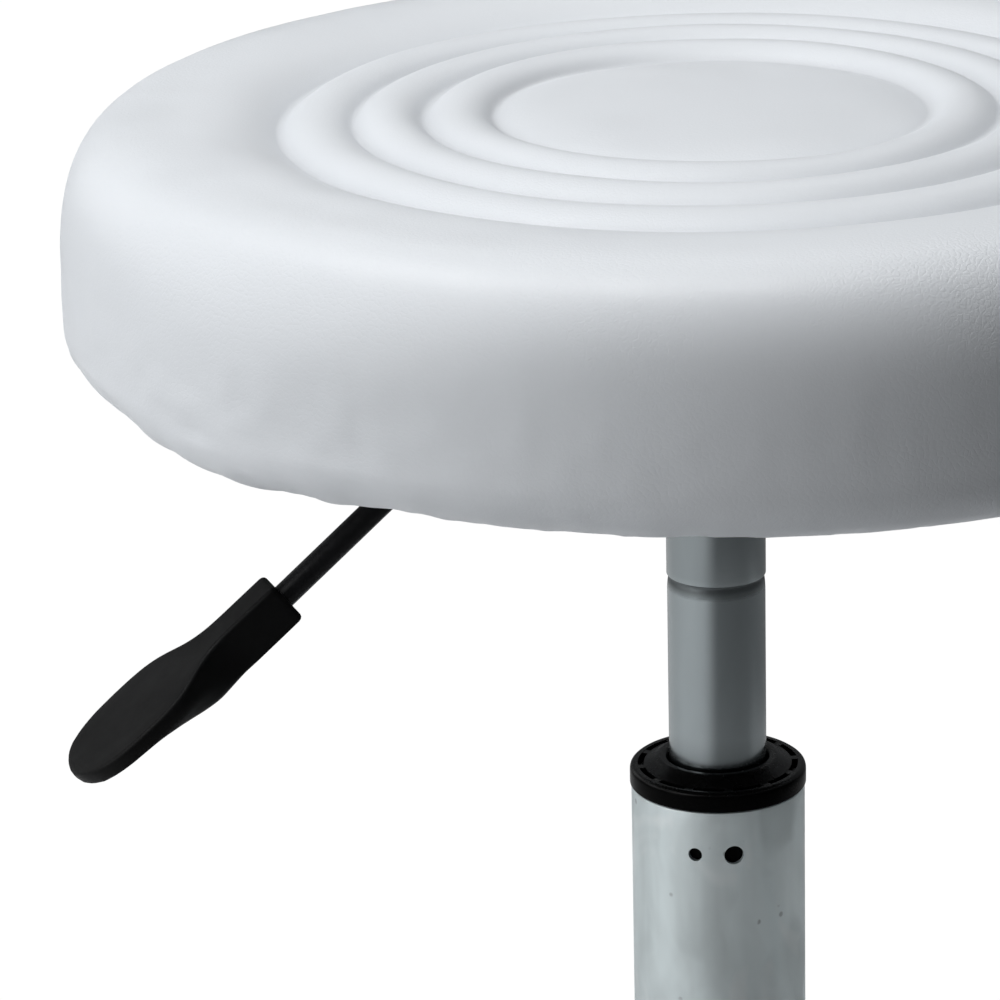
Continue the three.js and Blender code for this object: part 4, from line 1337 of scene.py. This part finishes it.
turned("valve_body_turned", "valve_body", "seat", "brass", [
    (3.45, 322, 0.2), (10.6, 322, 0.3), (11.2, 322.8, 0.3), (11.2, 329.6, 0.2),
    (10.2, 329.9, 0.2), (10.2, 332.6, 0.2), (11.2, 332.9, 0.2), (11.2, 343, 0.2),
    (10.4, 343.3, 0.2), (10.4, 346, 0.2), (11.2, 346.3, 0.2), (11.2, 356.2, 0.6),
    (9.5, 358, 0.4), (3.45, 358, 0.3)])
turned("release_pin_turned", "release_pin", "valve_pin", "steel", [
    (0, 345), (2.6, 345, 0.2), (3, 345.5, 0.2), (3, 364.5, 0.1), (4.2, 364.6, 0.3),
    (4.2, 366.5, 0.6), (2.2, 367.7, 0.8), (0, 368)])

# ------------------------------------------------------------------ star base
LEG_ANGLES = [math.radians(-90 + 72 * k) for k in range(5)]   # the first leg points to the front
LEG_R = 208                                    # axis to caster stem
# arm stations: distance from the axis, value
ARM_TOP = [(18, 119.0), (30, 119.0), (45, 117.6), (60, 115.6), (75, 113.6), (100, 109.2),
           (125, 104.6), (150, 100.6), (175, 97.6), (208, 94.6)]
ARM_LOW = [(18, 73.0), (26, 73.0), (60, 70.4), (100, 66.6), (150, 63.9), (208, 61.4)]
ARM_HALF_WIDTH = [(18, 19.6), (26, 19.2), (60, 17.2), (110, 15.3), (150, 14.3), (208, 13.2)]
ARM_WALL = 3.6
CHANNEL_START, CHANNEL_END, CHANNEL_EASE = 37, 189, 6


def cast_shell(part, voxel, rounds):
    """Fuse overlapping shells into one skin and soften its inner corners like a casting."""
    modify(part, "REMESH", mode="VOXEL", voxel_size=voxel * MM, use_smooth_shade=True)
    modify(part, "SMOOTH", factor=0.5, iterations=rounds)
    apply_mods(part)


def arm_sections(channel=False):
    """Sections along +X of one arm, or of the channel that hollows it from below."""
    stations = np.linspace(CHANNEL_START, CHANNEL_END, 34) if channel else np.linspace(18, 206, 40)
    sections = []
    for x in stations:
        top, half = table_at(x, ARM_TOP), table_at(x, ARM_HALF_WIDTH)
        low, foot = table_at(x, ARM_LOW), 1.2
        if channel:
            top -= ARM_WALL + 0.6
            half -= ARM_WALL
            low, foot = 40.0, 0
            gap = min(x - CHANNEL_START, CHANNEL_END - x)
            if gap < CHANNEL_EASE:
                ease = 1 - math.sqrt(max(0, 1 - (1 - gap / CHANNEL_EASE) ** 2))
                top -= 5 * ease
                half -= 2.0 * ease
        lean = 0.86
        shoulder = min(9.0, half * 0.62)
        waist = low + (top - low) * 0.45
        outline = rounded([
            (-half, low, foot), (-half * 0.985, waist, 6), (-half * lean, top - 1.2, shoulder),
            (0, top + 0.4, 8), (half * lean, top - 1.2, shoulder), (half * 0.985, waist, 6),
            (half, low, foot)], closed=True, steps=6)
        sections.append([(x, y, z) for y, z in outline])
    return sections


def star_base():
    hub = [(0, 66.4), (29.0, 66.4), (30.8, 68), (30.8, 127.4), (28.6, 129.8), (0, 129.8)]
    boss = [(0, 61.0), (12.9, 61.0), (13.5, 62.0), (13.5, 89.6), (11.6, 92.2), (0, 92.2)]
    bore = [(0, 40), (24.25, 40), (24.5, 60), (25.3, 130), (25.3, 150), (0, 150)]
    shells = [revolve("hub", hub)]
    for angle in LEG_ANGLES:
        shells.append(transform(loft("arm", arm_sections()), spin(angle, "Z")))
        shells.append(transform(revolve("boss", boss, 64, centre=(LEG_R, 0)), spin(angle, "Z")))
    body = join("star_base_cast", shells)
    cast_shell(body, voxel=1.7, rounds=3)
    boolean(body, join("channels", [
        transform(loft("channel", arm_sections(channel=True)), spin(angle, "Z"))
        for angle in LEG_ANGLES]))
    cast_shell(body, voxel=1.72, rounds=7)
    cuts = [revolve("bore", bore, 160)]
    cuts += [transform(rod("socket", 6.05, 50, 86, 48, centre=(LEG_R, 0)), spin(angle, "Z"))
             for angle in LEG_ANGLES]
    boolean(body, join("bores", cuts))
    # keep the casting inside the height of the frame's node
    low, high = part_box("star_base")
    points = coordinates(body.data)
    points[:, 2] = np.clip(points[:, 2], low.z, high.z)
    body.data.vertices.foreach_set("co", points.ravel())
    body.data.update()
    shade(body, 40)
    return body


place(star_base(), "base", "alloy", "star_base")

# ------------------------------------------------------------------ casters
# Each caster is built with its stem on the Z axis and its wheels TRAIL behind it, towards +Y.
TRAIL, WHEEL_R = 22.5, 25.0
HOOD_R = 29.25                                 # radius the hood's end sections shrink about
WHEEL = [
    (0, 20.0), (3.45, 20.0), (3.45, 5.0, 0.2), (9.0, 5.0), (9.6, 6.4, 0.4), (20.5, 6.4, 0.4),
    (21.2, 5.0, 0.3), (24.3, 5.0, 0.6), (25.0, 5.9, 0.4), (25.0, 11.9, 0.15), (24.7, 12.1),
    (24.7, 12.7), (25.0, 12.9, 0.15), (25.0, 18.6, 1.6), (23.9, 21.0, 0.9), (21.8, 21.5, 0.3),
    (21.4, 20.5, 0.2), (20.7, 20.5, 0.2), (20.3, 21.3, 0.3), (18.6, 21.3, 0.8),
    (15.0, 19.9, 2.0), (11.0, 19.9, 1.2), (9.4, 21.2, 0.7), (8.4, 21.2, 0.2), (8.2, 20.7, 0.1),
    (7.8, 20.7, 0.1), (7.6, 21.6, 0.4), (5.0, 22.0, 1.0), (0, 22.0)]
AXLE = [(0, -19.4), (2.95, -19.4, 0.5), (2.95, 19.4, 0.5), (0, 19.4)]
STEM = [
    (0, 47), (5.45, 47, 0.8), (5.45, 58.2), (8.5, 58.2, 0.3), (8.5, 59.9, 0.3), (5.45, 59.9),
    (5.45, 76), (5.1, 76.4, 0.2), (5.1, 78.2, 0.2), (5.45, 78.6), (5.45, 84, 1.2), (0, 84)]
# across the hood: x, distance from the wheel axis, easing
HOOD = [(-17.9, 27.6, 0.5), (-17.9, 29.6, 1.4), (-15.5, 30.9, 1.6), (15.5, 30.9, 1.6),
        (17.9, 29.6, 1.4), (17.9, 27.6, 0.5)]


def wheel():
    """Dished wheel with shallow ribs, its outer face towards +X."""
    part = revolve("wheel", rounded(WHEEL, steps=3), 96)
    inner, outer, half = 9.6, 19.4, 1.1
    ribs = []
    for k in range(6):
        angle = math.radians(60 * k + 30)
        cos, sin = math.cos(angle), math.sin(angle)
        corners = [(inner, -half), (outer, -half * 1.3), (outer, half * 1.3), (inner, half)]
        ribs.append(block("rib", [(x * cos - y * sin, x * sin + y * cos, z)
                                  for z in (19.0, 20.75) for x, y in corners]))
    boolean(part, join("ribs", ribs), "UNION")
    shade(part, 40)
    return transform(part, Z_TO_X)


def hood_shell():
    section = rounded(HOOD, closed=True)
    sections = []
    for degrees in np.concatenate([[-5], np.linspace(-4.2, 184.2, 72), [185]]):
        cos, sin = math.cos(math.radians(degrees)), math.sin(math.radians(degrees))
        size = 0.96 if degrees in (-5, 185) else 1.0
        sections.append([(x * size, TRAIL + (HOOD_R + (r - HOOD_R) * size) * cos,
                          WHEEL_R + (HOOD_R + (r - HOOD_R) * size) * sin) for x, r in section])
    return loft("hood", sections)


def web_shell():
    """Upright plate between the wheels."""
    outline = []
    for radius, start, end, count in ((29.2, -4, 184, 60), (13, 200, 340, 24)):
        for angle in np.linspace(start, end, count):
            angle = math.radians(angle)
            outline.append((radius * math.cos(angle), radius * math.sin(angle)))
    return loft("web", [[(x, TRAIL + y, WHEEL_R + z) for y, z in outline] for x in (-3.8, 3.8)])


def caster_body():
    """Hood over both wheels, a web between them and the boss the stem runs in."""
    boss = [(0, 44.0), (8.4, 44.0), (8.4, 57.2), (7.9, 57.8), (0, 57.8)]
    shells = [hood_shell(), web_shell(), revolve("boss", boss, 64)]
    for side in (-1, 1):
        shells.append(block("gusset", [
            (x, y, z) for x in (side * 6.5 - 1.2, side * 6.5 + 1.2)
            for y, z in ((2, 44), (22, 52.5), (15, 55.6), (4.5, 55.0))]))
    body = join("caster", shells)
    cast_shell(body, voxel=0.75, rounds=3)
    modify(body, "DECIMATE", ratio=0.35)
    apply_mods(body)
    boolean(body, rod("bore", 6.1, 40, 70, 48))
    axle_bore = rod("axle_bore", 3.3, -10, 10, 40)
    boolean(body, transform(axle_bore, shift(0, TRAIL, WHEEL_R) @ Z_TO_X))
    shade(body, 45)
    return body


def caster_set():
    wheel_part = wheel()
    body = caster_body()
    axle = transform(revolve("axle", rounded(AXLE), 48), Z_TO_X)
    stem = revolve("stem", rounded(STEM), 64)
    for number, angle in enumerate(LEG_ANGLES, 1):
        x, y = LEG_R * math.cos(angle), LEG_R * math.sin(angle)
        foot = shift(x, y, 0)
        axis = shift(x, y + TRAIL, WHEEL_R)
        right, left = f"wheel_{number}_right", f"wheel_{number}_left"
        # pattern, name, where, body it rides on, finish, node
        for pattern, name, where, rides, finish, node in (
                (body, f"caster_body_moulded_{number}", foot, f"caster_{number}", "caster",
                 f"caster_body_{number}"),
                (axle, f"caster_axle_turned_{number}", axis, f"caster_{number}", "steel",
                 f"caster_axle_{number}"),
                (stem, f"caster_stem_turned_{number}", foot, "base", "zinc",
                 f"caster_stem_{number}"),
                (wheel_part, f"wheel_dished_{number}_right", axis, right + "_body", "wheel",
                 right),
                (wheel_part, f"wheel_dished_{number}_left", axis @ spin(math.pi, "Z"),
                 left + "_body", "wheel", left)):
            copy = new_object(name, pattern.data.copy())
            place(transform(copy, where), rides, finish, node)
    for pattern in (wheel_part, body, axle, stem):
        remove(pattern)


caster_set()


# ------------------------------------------------------------------ floor, light and camera
# Everything from here on is in metres.
def floor():
    """Plain white to the camera, with painted contact shadows from ambient occlusion; graded greys
    in the light it returns, painted shade that darkens to the right.
    """
    half = 6.0
    mesh = bpy.data.meshes.new("floor")
    mesh.from_pydata([(-half, -half, 0), (half, -half, 0), (half, half, 0), (-half, half, 0)],
                     [], [(0, 1, 2, 3)])
    part = new_object("floor", mesh)
    material = bpy.data.materials.new("floor_white")
    graph = Graph(material)
    light_path = graph.node("LightPath").outputs
    position = graph.node("TexCoord").outputs["Object"]
    x, y, _ = graph.split(position)
    distance = graph.node("VectorMath", {0: position}, operation="LENGTH").outputs["Value"]

    def fade(value, over):
        return graph.span(value, over, interpolation_type="SMOOTHSTEP")

    # painted shade and reflection: pale at the left, greyer to the right and with distance, and
    # brighter behind as polished parts see it, standing in for a studio lit from the left
    far_grey = (0.27, 0.275, 0.28)
    diffused = graph.mix(fade(distance, over=(0.50, 0.78)), (0.45, 0.455, 0.46), far_grey)
    behind = graph.mix(fade(y, over=(-0.20, 0.12)), (0.48, 0.485, 0.49), (0.97, 0.98, 0.99))
    mirrored = graph.mix(fade(distance, over=(0.58, 0.78)), behind, far_grey)
    right = graph.mix(light_path["Is Glossy Ray"], diffused, mirrored)
    tint = graph.mix(fade(x, over=(-0.52, 0.08)), (0.86, 0.87, 0.88), right)
    lit = graph.node("BsdfDiffuse", {0: tint}).outputs[0]

    # painted contact shadow: the white glow seen by the camera dims where the floor is occluded
    contact_shadow = graph.node("AmbientOcclusion", {"Distance": 0.07}, samples=8).outputs["AO"]
    glow = graph.span(contact_shadow, over=(0.25, 0.97), give=(0.42, 1.02))
    white = graph.node("Emission", {"Strength": glow, "Color": (1, 1, 1, 1)}).outputs[0]
    graph.node("OutputMaterial", {
        0: graph.mix_shaders(light_path["Is Camera Ray"], lit, white)})
    mesh.materials.append(material)


floor()


def world():
    """White to the camera, pale walls in reflections and a faint fill, brighter from the left."""
    studio = bpy.data.worlds.new("studio")
    scene.world = studio
    graph = Graph(studio)
    light_path = graph.node("LightPath").outputs

    def background(color, strength):
        return graph.node("Background", {"Color": color, "Strength": strength}).outputs[0]

    x = graph.split(graph.node("TexCoord").outputs["Generated"])[0]
    gradient = graph.ramp(graph.span(x, over=(-1, 1)), [
        (0.0, (0.62, 0.64, 0.67)), (0.5, (0.24, 0.245, 0.26)), (1.0, (0.13, 0.135, 0.145))])
    fill = background(gradient, strength=0.02)
    walls = background((0.93, 0.97, 1, 1), strength=0.13)
    white = background((1, 1, 1, 1), strength=1.02)
    unseen = graph.mix_shaders(light_path["Is Glossy Ray"], fill, walls)
    graph.node("OutputWorld", {
        0: graph.mix_shaders(light_path["Is Camera Ray"], unseen, white)})


world()

LIGHT_DISTANCE = 2.2
# name, degrees round from the front (-90 = left), elevation in degrees, watts
LIGHTS = (("soft_back", 180, 45, 4.0), ("rear_left_low", -130, 12, 1.5),
          ("front_left_low", -53, 12, 9.4), ("front_left_high", -45, 42, 7.6),
          ("left_low", -90, 12, 5.6), ("left_top", -90, 65, 20.5), ("top", 0, 89, 16.2))


def area_light(name, location, target, size, power):
    light = bpy.data.lights.new(name, "AREA")
    light.energy = power
    light.size = size
    lamp = new_object(name, light)
    lamp.location = location
    aim = Vector(target) - Vector(location)
    lamp.rotation_euler = aim.to_track_quat("-Z", "Y").to_euler()
    return lamp


for name, azimuth, elevation, power in LIGHTS:
    round_, rise = math.radians(azimuth), math.radians(elevation)
    aim = Vector((math.sin(round_) * math.cos(rise), -math.cos(round_) * math.cos(rise),
                  math.sin(rise)))
    area_light(name, aim * LIGHT_DISTANCE + Vector((0, 0, 0.40)), (0, 0, 0.40),
               size=1.1, power=power)
# low, behind on the right: opens the shaded side of the cushion and stays out of reflections
round_ = math.radians(130)
fill_light = area_light(
    "rear_right_fill",
    (LIGHT_DISTANCE * math.sin(round_), -LIGHT_DISTANCE * math.cos(round_), 0.14),
    (0, 0, 0.42), size=0.5, power=28.0)
fill_light.visible_glossy = False


def camera():
    """Long lens, a little above the seat, looking down at the seat and the upper column."""
    distance, height = 1.31166, 0.53114 + TUBE_TOP * MM
    yaw, pitch, roll = 0.0465, 0.3268, 0.0238       # radians
    cos_y, sin_y = math.cos(yaw), math.sin(yaw)
    cos_p, sin_p = math.cos(pitch), math.sin(pitch)
    cos_r, sin_r = math.cos(roll), math.sin(roll)
    turn = (np.array([[cos_y, -sin_y, 0], [sin_y, cos_y, 0], [0, 0, 1]])
            @ np.array([[1, 0, 0], [0, cos_p, sin_p], [0, -sin_p, cos_p]])
            @ np.array([[cos_r, 0, sin_r], [0, 1, 0], [-sin_r, 0, cos_r]]))
    right, forward, up = turn.T
    matrix = np.eye(4)
    matrix[:3] = np.stack([right, up, -forward, (0.0, -distance, height)], 1)
    lens = bpy.data.cameras.new("camera")
    lens.sensor_width = 36.0
    lens.sensor_fit = "HORIZONTAL"
    lens.lens = 176.0328
    lens.clip_start = 0.01
    lens.clip_end = 50
    viewer = new_object("camera", lens)
    viewer.matrix_world = Matrix(matrix.tolist())
    scene.camera = viewer


camera()
